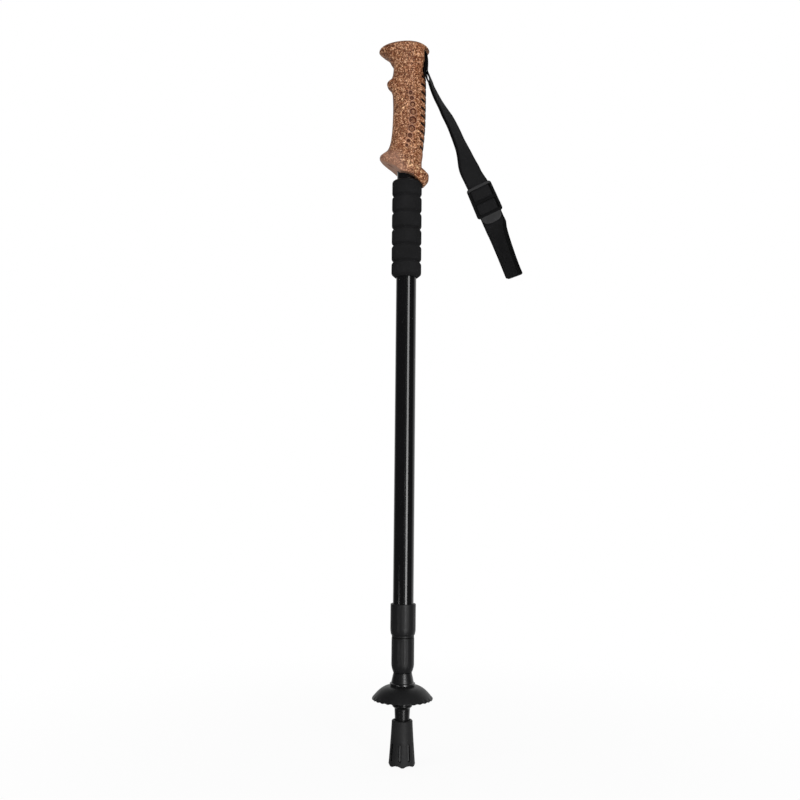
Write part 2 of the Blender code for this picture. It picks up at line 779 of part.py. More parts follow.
def build_upper_collar(body):
    seat = UPPER_TUBE_R + FIT_GAP
    lip_bore = MIDDLE_TUBE_R + SLIDE_GAP
    outer = seat + UPPER_COLLAR_WALL
    lip_r = UPPER_COLLAR_LIP_D / 2
    low = UPPER_COLLAR_Z
    high = low + UPPER_COLLAR_LENGTH
    lip_top = low + UPPER_COLLAR_LIP
    outline = [(outer - COLLAR_CHAMFER, high), (outer, high - COLLAR_CHAMFER)]
    outline += [(outer, low + UPPER_COLLAR_TAPER), ((outer + lip_r) / 2, lip_top)]
    outline += [(lip_r, low + 2 * COLLAR_CHAMFER), (lip_r, low), (lip_bore, low)]
    outline += [(lip_bore, lip_top), (seat, lip_top), (seat, high)]
    finish(turned("collar", outline), "upper_collar", MATT_BLACK, body)


def build_middle_collar(body):
    seat = MIDDLE_TUBE_R + FIT_GAP
    lip_bore = LOWER_TUBE_R + SLIDE_GAP
    outer = seat + MIDDLE_COLLAR_WALL
    foot_r = lip_bore + MIDDLE_COLLAR_FOOT_WALL
    low = MIDDLE_COLLAR_Z
    high = low + MIDDLE_COLLAR_LENGTH
    lip_top = low + COLLAR_LIP
    flute_low = low + FLUTE_START
    flute_high = high - FLUTE_END_MARGIN
    waist = low + MIDDLE_COLLAR_TAPER
    outline = [(outer - COLLAR_CHAMFER / 2, high), (outer, high - COLLAR_CHAMFER)]
    outline += [(outer, flute_high), (outer, flute_low), (outer - FLUTE_DEPTH, waist)]
    outline += [(foot_r + (outer - foot_r) * MIDDLE_COLLAR_BULGE, (low + waist) / 2), (foot_r, low)]
    outline += [(lip_bore, low), (lip_bore, lip_top), (seat, lip_top), (seat, high)]
    collar = turned("collar", outline)
    flute(collar, flute_low, flute_high, FLUTE_COUNT)
    finish(collar, "middle_collar", MATT_BLACK, body)


# Twist locks


def build_lock(prefix, tube_r, top_z, outer_bore_r, lock_body, wedge_body, tube_body):
    """The lock at a tube's upper end, which spreads against the bore of the tube around it."""
    bore_r = tube_r - TUBE_WALL
    screw_r = LOCK_SCREW_D / 2
    screw_hole = screw_r + FIT_GAP
    flange_z = top_z + FIT_GAP
    seat_z = top_z - LOCK_SCREW_SEAT
    plug_z = top_z - PLUG_LENGTH
    flange_top = flange_z + PLUG_FLANGE
    outline = [(screw_hole, flange_top), (tube_r, flange_top), (tube_r, flange_z)]
    outline += [(bore_r - FIT_GAP, flange_z), (bore_r - FIT_GAP, plug_z), (0, plug_z)]
    outline += [(0, seat_z), (screw_hole, seat_z)]
    plug = turned("plug", outline, LOCK_SIDES)
    finish(plug, prefix + "_tube_plug", NYLON, tube_body)

    expander_z = flange_top + FIT_GAP
    expander_top = expander_z + EXPANDER_LENGTH
    expander_r = outer_bore_r - FIT_GAP
    cone_z = expander_z + EXPANDER_BASE
    cone_low_r = screw_hole + EXPANDER_SEAT_STEP
    cone_high_r = expander_r - EXPANDER_RIM
    outline = [(cone_high_r, expander_top), (expander_r, expander_top), (expander_r, expander_z)]
    outline += [(screw_hole, expander_z), (screw_hole, cone_z), (cone_low_r, cone_z)]
    expander = turned("expander", outline, LOCK_SIDES)
    half = EXPANDER_SLOT / 2
    reach = outer_bore_r
    along_x = block("slot_x", (-reach, -half, cone_z), (reach, half, expander_top + WEDGE_STAND))
    along_y = block("slot_y", (-half, -reach, cone_z), (half, reach, expander_top + WEDGE_STAND))
    cut(expander, along_x, along_y)
    finish(expander, prefix + "_expander", MATT_BLACK, lock_body)

    slope = (cone_high_r - cone_low_r) / (expander_top - cone_z)
    wedge_z = cone_z + WEDGE_CLEAR
    wedge_top = expander_top + WEDGE_STAND
    clear = FIT_GAP * math.sqrt(1 + slope**2)
    low_r = cone_low_r + slope * WEDGE_CLEAR - clear
    high_r = cone_high_r - clear
    outline = [(screw_hole, wedge_top), (high_r, wedge_top), (high_r, expander_top), (low_r, wedge_z)]
    outline += [(screw_hole, wedge_z)]
    wedge = turned("wedge", outline, LOCK_SIDES)
    key_half = half - FIT_GAP
    key_low = wedge_z + WEDGE_CLEAR
    for side in (-1, 1):
        near = side * (low_r + screw_hole) / 2
        far = side * (expander_r - WEDGE_KEY_RECESS)
        low = (min(near, far), -key_half, key_low)
        high = (max(near, far), key_half, wedge_top - WEDGE_STAND / 2)
        join(wedge, block("key", low, high))
    finish(wedge, prefix + "_wedge_nut", NYLON, wedge_body)

    ring_z = wedge_top + LOCK_TURNS * LOCK_LEAD + FIT_GAP
    ring_top = ring_z + STOP_RING_LENGTH
    ring = sleeve("ring", screw_hole, screw_hole + STOP_RING_WALL, ring_z, ring_top, SMALL_SIDES)
    finish(ring, prefix + "_stop_ring", STEEL, tube_body)
    start = (0, 0, seat_z + FIT_GAP)
    screw = rod("screw", screw_r, start, (0, 0, ring_top + SCREW_END), SMALL_SIDES)
    finish(screw, prefix + "_lock_screw", STEEL, tube_body)


# Grip


def back_squareness(depth):
    """Squareness of the section's back half; above and below the table it is an ellipse."""
    share = min(BACK_SQUARENESS[-1][0], max(BACK_SQUARENESS[0][0], depth / GRIP_LENGTH))
    return smooth_value(BACK_SQUARENESS, share)


def grip_ring(depth, scale=1.0, height=None):
    """A ring of points round the grip at a depth below the crown."""
    front = -GRIP_BORE_R - smooth_value(GRIP_FRONT, depth / GRIP_LENGTH)
    back = GRIP_BORE_R + smooth_value(GRIP_BACK, depth / GRIP_LENGTH)
    side = GRIP_BORE_R + smooth_value(GRIP_SIDE, depth / GRIP_LENGTH)
    middle = CROWN_PEAK_X * (1 - scale)
    z = CROWN_Z - depth if height is None else height
    points = []
    for index in range(GRIP_SIDES):
        turn = math.tau * index / GRIP_SIDES
        power = 2 / back_squareness(depth) if math.cos(turn) > 0 else 1.0
        reach = back if math.cos(turn) > 0 else -front
        x = reach * math.copysign(abs(math.cos(turn)) ** power, math.cos(turn))
        y = side * math.copysign(abs(math.sin(turn)) ** power, math.sin(turn))
        points.append((middle + scale * x, scale * y, z))
    return points


def grip_half_width(x, depth):
    """Half the grip's width at a place x, at a depth below the crown."""
    front = GRIP_BORE_R + smooth_value(GRIP_FRONT, depth / GRIP_LENGTH)
    back = GRIP_BORE_R + smooth_value(GRIP_BACK, depth / GRIP_LENGTH)
    side = GRIP_BORE_R + smooth_value(GRIP_SIDE, depth / GRIP_LENGTH)
    share = abs(x) / (back if x > 0 else front)
    power = back_squareness(depth) if x > 0 else 2.0
    return side * max(0.0, 1 - share**power) ** (1 / power)


def grip_blank():
    """The grip's outer shape, before anything is cut from it."""
    rings = []
    for share in CROWN_SHARES:
        lift = CROWN_HEIGHT * (1 - share**CROWN_ROUNDNESS) ** (1 / CROWN_ROUNDNESS)
        rings.append(grip_ring(CROWN_HEIGHT, share, CROWN_Z - CROWN_HEIGHT + lift))
    for index in range(GRIP_RINGS + 1):
        rings.append(grip_ring(CROWN_HEIGHT + (GRIP_LENGTH - CROWN_HEIGHT) * index / GRIP_RINGS))
    return lofted("grip", rings)


def foot_cutter():
    """Everything below the grip's underside, which slants down from front to back and hugs the tube."""
    start = GRIP_FOOT[0][0]
    end = GRIP_FOOT[-1][0]
    places = [start + (end - start) * step / FOOT_STEPS for step in range(FOOT_STEPS + 1)]
    outline = [(place, CROWN_Z - GRIP_LENGTH * smooth_value(GRIP_FOOT, place)) for place in places]
    floor = CROWN_Z - 2 * GRIP_LENGTH
    outline = [(end, floor), (start, floor)] + outline
    upright = Matrix.Rotation(math.radians(90), 4, "X")
    return plate("foot_cutter", outline, GRIP_LENGTH, upright)


def foam_outline(gap):
    """The foam sleeve's head and side, from the top down, grown by a gap."""
    outer = FOAM_D / 2 + gap
    head = FOAM_HEAD_D / 2 + gap
    top = FOAM_TOP_Z + gap
    turns = [math.pi / 2 * step / FOAM_HEAD_STEPS for step in range(FOAM_HEAD_STEPS + 1)]
    wider = outer - head
    return [(head + wider * math.sin(a), top - FOAM_HEAD_DROP * (1 - math.cos(a))) for a in turns]


def foam_cutter():
    """The foam's head, which the grip's foot reaches round at the back."""
    floor = CROWN_Z - 2 * GRIP_LENGTH
    outline = [(0, FOAM_TOP_Z + FIT_GAP)] + foam_outline(FIT_GAP)
    return turned("foam_cutter", outline + [(FOAM_D / 2 + FIT_GAP, floor), (0, floor)])


def pocket_cutter():
    """The room round the strap's pin, with the way out of it at the back."""
    top = math.pi / 2
    turns = [top + (POCKET_ARC_END - top) * step / POCKET_STEPS for step in range(POCKET_STEPS + 1)]
    outline = [(PIN_X + POCKET_RADIUS * math.cos(a), PIN_Z + POCKET_RADIUS * math.sin(a)) for a in turns]
    outline += [(PIN_X + x, PIN_Z + z) for x, z in POCKET_FLOOR]
    far = PIN_X + GRIP_LENGTH / 2
    outline += [(far, outline[-1][1]), (far, PIN_Z + POCKET_RADIUS)]
    upright = Matrix.Rotation(math.radians(90), 4, "X")
    return plate("pocket_cutter", outline, WEBBING_WIDTH + 2 * POCKET_SIDE_GAP, upright)


def pin_half_length():
    return WEBBING_WIDTH / 2 + POCKET_SIDE_GAP + PIN_SEAT


def dimple_cutters():
    """Hexagonal dimples, in a bowed row down each side."""
    depth = DIMPLE_START_BELOW_CROWN
    cutters = []
    for index, size in enumerate(DIMPLE_SIZES):
        if index:
            depth += (DIMPLE_SIZES[index - 1] + size) / 2 + DIMPLE_GAP
        x = DIMPLE_BOW_X - DIMPLE_BOW * (depth - DIMPLE_BOW_BELOW_CROWN) ** 2
        surface = grip_half_width(x, depth)
        for side in (-1, 1):
            start = (x, side * (surface - DIMPLE_DEPTH), CROWN_Z - depth)
            end = (x, side * (surface + DIMPLE_SIZES[0]), CROWN_Z - depth)
            cutters.append(rod("dimple_cutter", size / 2, start, end, 6))
    return cutters


def groove_cutter(depth, side):
    """One groove, from near the spine of the grip's back round to its side."""
    rings = []
    for share in (0, 0.5, 1):
        y = GROOVE_FROM_SPINE + (GROOVE_REACH - GROOVE_FROM_SPINE) * share
        here = depth - y * math.tan(GROOVE_SLANT)
        width = GRIP_BORE_R + smooth_value(GRIP_SIDE, here / GRIP_LENGTH)
        bulge = math.sqrt(1 - (y / width) ** 2)
        spine = GRIP_BORE_R + smooth_value(GRIP_BACK, here / GRIP_LENGTH)
        x = spine * bulge + GROOVE_RADIUS - GROOVE_DEPTH
        turns = [math.tau * index / GROOVE_SIDES for index in range(GROOVE_SIDES)]
        ring = [(math.cos(turn) * GROOVE_RADIUS, math.sin(turn) * GROOVE_RADIUS) for turn in turns]
        rings.append([(x + right, side * y, CROWN_Z - here + up) for right, up in ring])
    return lofted("groove_cutter", rings)


def groove_cutters():
    """Slanted grooves over the back of the grip, on either side of its spine."""
    depths = [GROOVE_START_BELOW_CROWN + index * GROOVE_SPACING for index in range(GROOVE_COUNT)]
    return [groove_cutter(depth, side) for depth in depths for side in (-1, 1)]


def build_grip(body):
    grip = grip_blank()
    top = UPPER_TUBE_TOP_Z + FIT_GAP
    bore = rod("bore_cutter", GRIP_BORE_R, (0, 0, top - 2 * GRIP_LENGTH), (0, 0, top), ROUND_SIDES)
    seat = pin_half_length() + FIT_GAP
    hole = rod("pin_cutter", PIN_D / 2 + FIT_GAP, (PIN_X, -seat, PIN_Z), (PIN_X, seat, PIN_Z))
    cut(grip, foot_cutter(), foam_cutter(), pocket_cutter(), hole, bore)
    cut(grip, gathered("dimple_cutters", dimple_cutters()))
    cut(grip, gathered("groove_cutters", groove_cutters()))
    finish(grip, "grip_body", CORK, body)
    seat = pin_half_length()
    pin = rod("pin", PIN_D / 2, (PIN_X, -seat, PIN_Z), (PIN_X, seat, PIN_Z))
    finish(pin, "strap_pin", STEEL, body)


def build_foam(body):
    outer = FOAM_D / 2
    bottom = FOAM_TOP_Z - FOAM_LENGTH
    outline = foam_outline(0.0)
    for index in reversed(range(FOAM_GROOVES)):
        middle = bottom + FOAM_GROOVE_START + index * FOAM_GROOVE_PITCH
        outline += [(outer, middle + FOAM_GROOVE_WIDTH / 2), (outer - FOAM_GROOVE_DEPTH, middle)]
        outline += [(outer, middle - FOAM_GROOVE_WIDTH / 2)]
    outline += [(outer, bottom + FOAM_FOOT_CHAMFER), (FOAM_FOOT_D / 2, bottom)]
    outline += [(GRIP_BORE_R, bottom), (GRIP_BORE_R, FOAM_TOP_Z)]
    finish(turned("foam", outline), "foam_sleeve", FOAM, body)


# Wrist strap


def strap_place(distance):
    """A point of the strap's middle line, with the directions along it, across it and out of its face."""
    knots_x = [(0.0, STRAP_ROUTE[0][0])]
    knots_z = [(0.0, STRAP_ROUTE[0][1])]
    for before, after in zip(STRAP_ROUTE, STRAP_ROUTE[1:]):
        run = knots_x[-1][0] + math.dist(before, after)
        knots_x.append((run, after[0]))
        knots_z.append((run, after[1]))
    reach = MERGE
    ahead = Vector((smooth_value(knots_x, distance + reach), 0, smooth_value(knots_z, distance + reach)))
    here = Vector((smooth_value(knots_x, distance), 0, smooth_value(knots_z, distance)))
    along = (ahead - here).normalized()
    turn = smooth_value(STRAP_TWIST, distance)
    across = Matrix.Rotation(turn, 3, along) @ Vector((0, 1, 0))
    return here + Vector((PIN_X, 0, PIN_Z)), along, across, along.cross(across)


def steps_between(start, end, step):
    """Places from start up to but not at end, about a step apart."""
    count = max(1, round(abs(end - start) / step))
    return [start + (end - start) * index / count for index in range(count)]


def half_turn(centre, radius, aim):
    """Points round a fold of the webbing, which bulges along the strap if aim is 1 and back if it is -1."""
    turns = [math.pi * (index + 0.5) / FOLD_STEPS for index in range(FOLD_STEPS)]
    return [(centre[0] + aim * radius * math.sin(a), centre[1] + aim * radius * math.cos(a)) for a in turns]


def webbing_route():
    """The webbing's middle line, from its sewn end to its tail.

    Each point is a distance along the strap and a distance out of the strap's face. The webbing starts
    behind the buckle, folds at the strap's lower end, climbs to the pin, goes round it and comes down
    through the buckle.
    """
    layer = WEBBING_THICKNESS + LAYER_GAP
    clear = (BUCKLE_THICKNESS + WEBBING_THICKNESS) / 2 + FIT_GAP
    behind = BUCKLE_LIFT - clear
    over = BUCKLE_LIFT + clear
    near = BUCKLE_ALONG_STRAP - BUCKLE_LENGTH / 2
    far = BUCKLE_ALONG_STRAP + BUCKLE_LENGTH / 2
    tab_end = far - BUCKLE_BOTTOM_BAR + BUCKLE_TAB_LENGTH
    hump = BUCKLE_MIDDLE_BAR / 2 + BUCKLE_HUMP_EASE
    settled = tab_end + WEBBING_EASE
    fold = STRAP_LENGTH - FOLD_RADIUS - WEBBING_THICKNESS / 2
    outer = list(LEG_SPREAD)
    outer += [(near - WEBBING_EASE, layer / 2), (near, behind), (near + BUCKLE_TOP_BAR, behind)]
    outer += [(BUCKLE_ALONG_STRAP - hump, over), (BUCKLE_ALONG_STRAP + hump, over)]
    outer += [(far - BUCKLE_BOTTOM_BAR, behind), (tab_end, behind), (settled, layer), (fold, layer)]
    inner = [(place, -spread) for place, spread in LEG_SPREAD]
    inner += [(near - 2 * WEBBING_EASE, -layer / 2), (near, behind - 2 * layer)]
    inner += [(tab_end, behind - 2 * layer)]
    inner += [(settled, -layer), (fold - WEBBING_EASE, -layer), (fold, -layer / 2 - FOLD_RADIUS)]
    sewn = [(near, behind - layer), (tab_end, behind - layer)]
    sewn += [(settled, 0.0), (fold - WEBBING_EASE, 0.0), (fold, FOLD_RADIUS - layer / 2)]
    fine = WEBBING_STEP / 4
    half = WEBBING_STEP / 2
    curve = LEG_SPREAD[-1][0]
    places = steps_between(BUCKLE_ALONG_STRAP, tab_end, WEBBING_STEP) + steps_between(tab_end, settled, half)
    places += steps_between(settled, fold - WEBBING_EASE, 2 * WEBBING_STEP)
    places += steps_between(fold - WEBBING_EASE, fold, half)
    route = [(place, smooth_value(sewn, place)) for place in places + [fold]]
    route += half_turn((fold, -layer / 2), FOLD_RADIUS, 1)
    places = steps_between(fold, fold - WEBBING_EASE, half)
    places += steps_between(fold - WEBBING_EASE, settled, 2 * WEBBING_STEP)
    places += steps_between(settled, tab_end, half)
    places += steps_between(tab_end, near, 2 * WEBBING_STEP) + steps_between(near, curve, WEBBING_STEP)
    places += steps_between(curve, 0, half)
    route += [(place, smooth_value(inner, place)) for place in places + [0.0]]
    route += half_turn((0.0, 0.0), LEG_SPREAD[0][1], -1)
    places = steps_between(0, curve, half) + steps_between(curve, near - WEBBING_EASE, WEBBING_STEP)
    places += steps_between(near - WEBBING_EASE, near, half) + steps_between(near, far, fine)
    places += steps_between(far, tab_end, WEBBING_STEP) + steps_between(tab_end, settled, half)
    places += steps_between(settled, STRAP_LENGTH - TAIL_SHORT, 2 * WEBBING_STEP)
    route += [(place, smooth_value(outer, place)) for place in places + [STRAP_LENGTH - TAIL_SHORT]]
    return route


def build_strap(body):
    middles = []
    widths = []
    for distance, lift in webbing_route():
        here, _, across, out = strap_place(distance)
        middles.append(here + out * lift)
        widths.append(across)
    rings = []
    for index, middle in enumerate(middles):
        before = middles[max(index - 1, 0)]
        after = middles[min(index + 1, len(middles) - 1)]
        side = widths[index] * WEBBING_WIDTH / 2
        thick = (after - before).cross(widths[index]).normalized() * WEBBING_THICKNESS / 2
        near = [middle + side + thick, middle - side + thick]
        rings.append(near + [middle - side - thick, middle + side - thick])
    finish(lofted("webbing", rings), "wrist_strap", WEBBING, body)


def rounded_outline(width, height, corner):
    """A rectangle about the origin with round corners."""
    outline = []
    for quarter, (side, end) in enumerate(((1, 1), (-1, 1), (-1, -1), (1, -1))):
        x = side * (width / 2 - corner)
        y = end * (height / 2 - corner)
        for step in range(CORNER_STEPS + 1):
            turn = math.pi / 2 * (quarter + step / CORNER_STEPS)
            outline.append((x + corner * math.cos(turn), y + corner * math.sin(turn)))
    return outline


def build_buckle(body):
    here, along, across, out = strap_place(BUCKLE_ALONG_STRAP)
    turn = Matrix((across, -along, across.cross(-along))).transposed().to_4x4()
    face = 1 if across.cross(-along).dot(out) > 0 else -1
    place = Matrix.Translation(here + out * BUCKLE_LIFT) @ turn
    opening = WEBBING_WIDTH / 2 + BUCKLE_SIDE_GAP
    half = BUCKLE_LENGTH / 2
    outline = rounded_outline(2 * (opening + BUCKLE_RAIL), BUCKLE_LENGTH, BUCKLE_CORNER)
    buckle = plate("buckle", outline, BUCKLE_THICKNESS, place)
    deep = BUCKLE_THICKNESS
    window_top = (BUCKLE_MIDDLE_BAR / 2, half - BUCKLE_TOP_BAR)
    window_bottom = (BUCKLE_BOTTOM_BAR - half, -BUCKLE_MIDDLE_BAR / 2)
    for low, high in (window_top, window_bottom):
        cut(buckle, block("window_cutter", (-opening, low, -deep), (opening, high, deep), place))
    root = BUCKLE_BOTTOM_BAR - half - FIT_GAP
    reach = BUCKLE_TAB_LENGTH - FIT_GAP
    power = 2 / BUCKLE_TAB_SQUARENESS
    tab = []
    for step in range(TAB_STEPS + 1):
        turn = math.pi * step / TAB_STEPS
        aside = math.copysign(abs(math.cos(turn)) ** power, math.cos(turn))
        tab.append((-BUCKLE_TAB_WIDTH / 2 * aside, root - reach * abs(math.sin(turn)) ** power))
    join(buckle, plate("tab", tab, BUCKLE_THICKNESS, place @ Matrix.Translation((0, 0, face * FIT_GAP))))
    finish(buckle, "strap_buckle", BUCKLE_GREY, body)


def main():
    upper = body_empty("upper_section", (0, 0, 0))
    middle_lock = body_empty("middle_lock", (0, 0, MIDDLE_TUBE_TOP_Z), upper)
    middle_wedge = body_empty("middle_wedge", (0, 0, MIDDLE_TUBE_TOP_Z), middle_lock)
    middle = body_empty("middle_section", (0, 0, MIDDLE_TUBE_TOP_Z), middle_lock)
    lower_lock = body_empty("lower_lock", (0, 0, LOWER_TUBE_TOP_Z), middle)
    lower_wedge = body_empty("lower_wedge", (0, 0, LOWER_TUBE_TOP_Z), lower_lock)
    lower = body_empty("lower_section", (0, 0, LOWER_TUBE_TOP_Z), lower_lock)
    basket = body_empty("basket", (0, 0, FLANGE_BOTTOM_Z), lower)
    tip = body_empty("tip_cover", (0, 0, 0), lower)
    strap = body_empty("strap", (PIN_X, 0, PIN_Z), upper)
    build_rubber_tip(tip)
    build_tip_holder(lower)
    build_basket(basket)
    build_tubes(upper, middle, lower)
    build_upper_collar(upper)
    build_middle_collar(middle)
    build_lock("middle", MIDDLE_TUBE_R, MIDDLE_TUBE_TOP_Z, UPPER_BORE_R, middle_lock, middle_wedge, middle)
    build_lock("lower", LOWER_TUBE_R, LOWER_TUBE_TOP_Z, MIDDLE_BORE_R, lower_lock, lower_wedge, lower)
    build_grip(upper)
    build_foam(upper)
    build_strap(strap)
    build_buckle(strap)


main()
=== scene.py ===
"""Looks for a telescopic walking stick: cork grip, foam sleeve, tubes, wrist strap, basket and rubber tip."""

import json
import math

import bmesh
import bpy
import numpy as np
from mathutils import Matrix, Vector


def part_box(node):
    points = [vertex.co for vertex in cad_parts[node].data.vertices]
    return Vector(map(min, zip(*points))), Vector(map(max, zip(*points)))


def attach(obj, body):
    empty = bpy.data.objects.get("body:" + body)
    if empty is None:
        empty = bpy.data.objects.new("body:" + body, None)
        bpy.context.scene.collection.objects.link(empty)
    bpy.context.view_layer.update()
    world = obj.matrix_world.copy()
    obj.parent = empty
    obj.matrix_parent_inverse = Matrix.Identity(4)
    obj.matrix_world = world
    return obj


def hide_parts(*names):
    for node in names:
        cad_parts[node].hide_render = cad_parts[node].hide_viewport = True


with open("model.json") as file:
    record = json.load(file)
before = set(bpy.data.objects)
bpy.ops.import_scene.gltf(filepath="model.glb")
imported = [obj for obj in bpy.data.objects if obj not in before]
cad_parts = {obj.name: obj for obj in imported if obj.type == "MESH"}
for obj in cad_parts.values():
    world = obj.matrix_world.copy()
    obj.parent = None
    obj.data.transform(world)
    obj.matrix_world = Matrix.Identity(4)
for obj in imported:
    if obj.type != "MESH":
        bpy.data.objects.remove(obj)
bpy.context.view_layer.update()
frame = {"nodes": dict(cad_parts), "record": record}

# Camera, fitted to the photograph
CAMERA_PLACE = (-0.0045, -0.834, 0.2331)
CAMERA_PITCH = math.radians(5.4)
CAMERA_ROLL = math.radians(0.56)
CAMERA_LENS = 42.75

# Lamps: place, point faced, width, height, power in watts, and whether shiny surfaces reflect them
LAMPS = {
    "strip_right": ((0.81, -1.83, 0.2), (0, 0, 0.25), 0.55, 2.2, 30.0, True),
    "strip_low": ((0.74, -1.84, 0.0), (0, 0, 0.1), 0.4, 0.75, 22.0, True),
    "soft_left": ((-1.5, -1.1, 1.1), (0, 0, 0.35), 1.2, 1.2, 12.0, False),
    "strip_left": ((-0.95, -1.02, -0.14), (0, 0, 0.04), 0.25, 0.25, 3.0, True),
}

# Surround and floor: plain light, where white is bright in reflections, and how the floor turns white
SURROUND_LIGHT = 0.55
BRIGHT_SIDE = (0.24, 0.97, 0)
BRIGHT_SPAN = (0.25, 0.85)
DIM_SIDE = 0.06
FLOOR_RADIUS = 4.0
FLOOR_DROP = 0.0001
FLOOR_FADE = (0.1, 0.6)
FLOOR_NEAR_WHITE = 0.93

# Tolerances
WELD = 0.000002
MERGE = 0.00001

# Sizes that the CAD model has too
FIT_GAP = 0.0003
UPPER_BORE_R = 0.0093
MIDDLE_BORE_R = 0.0083
LOWER_BORE_R = 0.0073
GRIP_CAP = 0.0261
GRIP_LENGTH = 0.1349
CROWN_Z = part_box("upper_tube")[1].z + FIT_GAP + GRIP_CAP
CROWN_HEIGHT = 0.0078
CROWN_PEAK_X = 0.0005
BORE_TOP_Z = CROWN_Z - GRIP_CAP
FOAM_TOP_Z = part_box("foam_sleeve")[1].z
FOAM_R = 0.0133
FOAM_HEAD_R = 0.0096
FOAM_HEAD_DROP = 0.0038
FOAM_GROOVES = 5
FOAM_GROOVE_START = 0.014
FOAM_GROOVE_PITCH = 0.01492

# A foam groove's depth, which is half its width too, and the height of the foam's glossy neck
FOAM_GROOVE = 0.0019
NECK_HEIGHT = 0.0026

# Depth below the crown as a share of the grip's length, then the cork beyond the bore
GRIP_FRONT = (
    (0.049, 0.016), (0.06, 0.0172), (0.08, 0.0144), (0.108, 0.0086), (0.136, 0.0064), (0.171, 0.004),
    (0.208, 0.0043), (0.248, 0.0058), (0.28, 0.0098), (0.305, 0.009), (0.332, 0.0059), (0.364, 0.0045),
    (0.461, 0.004), (0.558, 0.0043), (0.669, 0.0055), (0.723, 0.0073), (0.751, 0.0094), (0.779, 0.0144),
    (0.799, 0.0168), (1.0, 0.0178),
)
GRIP_BACK = (
    (0.049, 0.0127), (0.061, 0.0093), (0.077, 0.0069), (0.095, 0.0059), (0.112, 0.0058), (0.178, 0.0058),
    (0.204, 0.0059), (0.227, 0.0065), (0.253, 0.0074), (0.361, 0.0075), (0.558, 0.0072), (0.668, 0.0062),
    (0.779, 0.0046), (0.834, 0.0037), (0.862, 0.0038), (0.888, 0.0074), (0.916, 0.0102), (0.948, 0.0099),
    (0.974, 0.0076), (1.0, 0.0038),
)
GRIP_SIDE = (
    (0.049, 0.0084), (0.108, 0.0076), (0.186, 0.0044), (0.268, 0.0035), (0.372, 0.0032), (0.558, 0.0032),
    (0.684, 0.0035), (0.751, 0.0045), (0.799, 0.0056), (0.877, 0.0058), (1.0, 0.005),
)

# How square the back half of the grip's section is: 2 is an ellipse
BACK_SQUARENESS = ((0.058, 2.0), (0.085, 3.0), (0.105, 4.0), (0.15, 4.0), (0.23, 2.0), (1.0, 2.0))

# The underside of the grip's foot: place along X, then depth as a share of the grip's length
GRIP_FOOT = (
    (-0.029, 0.788), (-0.0239, 0.816), (-0.0202, 0.836), (-0.0156, 0.856), (-0.0111, 0.876),
    (-0.0085, 0.893), (-0.006, 0.909), (-0.0035, 0.915), (0.0004, 0.921), (0.0055, 0.936),
    (0.0106, 0.966), (0.0134, 0.981), (0.016, 0.993),
)

# Fineness of the grip's mesh, and how its foot's edge is eased
CROWN_ROWS = 18
GRIP_ROWS = 290
EASE_ROWS = 14
UNDER_ROWS = 30
GRIP_COLUMNS = 240
FOOT_EASE_FRONT = 0.003
FOOT_EASE_SIDE = 0.005
FOOT_EASE_SHARE = 0.8
FOOT_EASE_BACK = 0.0005
FOOT_FRONT = (-0.027, -0.02)
FOOT_BACK = (-0.008, 0.008)
GRIP_SAMPLES = 520
FOOT_SAMPLES = 200
SHARP_ANGLE = math.radians(50)

# Marks in the cork: hexagonal dimples on the sides with painted shade inside and painted highlights on their
# lips, strokes and a flat spine down the back in black ink and painted shade, painted light on the front foot
# and its underside
DIMPLE_SIZES = (0.0034, 0.0037, 0.0047, 0.006, 0.0068, 0.0062, 0.0041, 0.0034, 0.0025)
DIMPLE_DEPTH = 0.001
DIMPLE_WALL = 0.0006
DIMPLE_RIM = 0.0004
DIMPLE_LIP = 0.00015
DIMPLE_LIP_WIDTH = 0.0009
DIMPLE_GAP = 0.0014
SMALL_DIMPLE = 0.0022
# Share of painted shade that fills a dimple's well: small dimples, then large ones
DIMPLE_SHADE = (0.7, 0.3)
DIMPLE_START = 0.0508
DIMPLE_BOW_X = 0.0048
DIMPLE_BOW_DEPTH = 0.0704
DIMPLE_BOW = 6.5
HEXAGON_TURNS = [math.radians(a) for a in (0, 60, 120)]
HEXAGON_SHARE = 0.65
HEXAGON_FLAT = 0.866
# Strokes down the back, pressed in and darkened with black ink and painted shade; the spine gets painted
# shade
STROKE_COUNT = 11
STROKE_HALF = 0.0014
STROKE_DEPTH = 0.0007
STROKE_SPACING = 0.00727
STROKE_START = 0.0287
STROKE_SLOPE = math.tan(math.radians(18))
STROKE_REACH = 0.0092
SPINE_HALF = 0.0046
SPINE_DEPTH = 0.0003
# Where painted light brightens the front foot
LOBE_X = -0.012
LOBE_FADE = 0.01
LOBE_DEPTH = 0.1045
# The slit under the front foot, pressed in and darkened with painted shade
SLIT_PLACE = (-0.0152, -0.0043)
SLIT_SIZE = (0.0032, 0.0011)
SLIT_DEPTH = 0.0006
SHEEN_END_X = 0.006
# Painted shadow on the cork's back beside the strap's slot
SLOT_EDGE_X = 0.0126
SLOT_EDGE_DEPTHS = (0.0202, 0.031)
FLECKS = (
    (-0.0035, 0.048, 0.002), (-0.0048, 0.056, 0.0024), (-0.004, 0.064, 0.0022), (0.0088, 0.086, 0.002),
    (0.001, 0.1155, 0.0022), (0.005, 0.1172, 0.0022), (0.009, 0.1195, 0.002), (0.003, 0.119, 0.0016),
    (-0.0065, 0.111, 0.0012), (-0.003, 0.1135, 0.0012), (0.0125, 0.123, 0.0018), (0.0075, 0.1235, 0.0014),
)

# Pocket in the grip's head for the strap, and the pin across it
PIN_X = 0.01
PIN_Z = CROWN_Z - 0.0104
PIN_R = 0.0015
POCKET_RADIUS = 0.0035
POCKET_ARC_END = math.radians(250)
POCKET_FLOOR = ((0.002, -0.0046), (0.0038, -0.0052), (0.0046, -0.0062), (0.0051, -0.008))
POCKET_HALF = 0.0106
POCKET_STEPS = 16

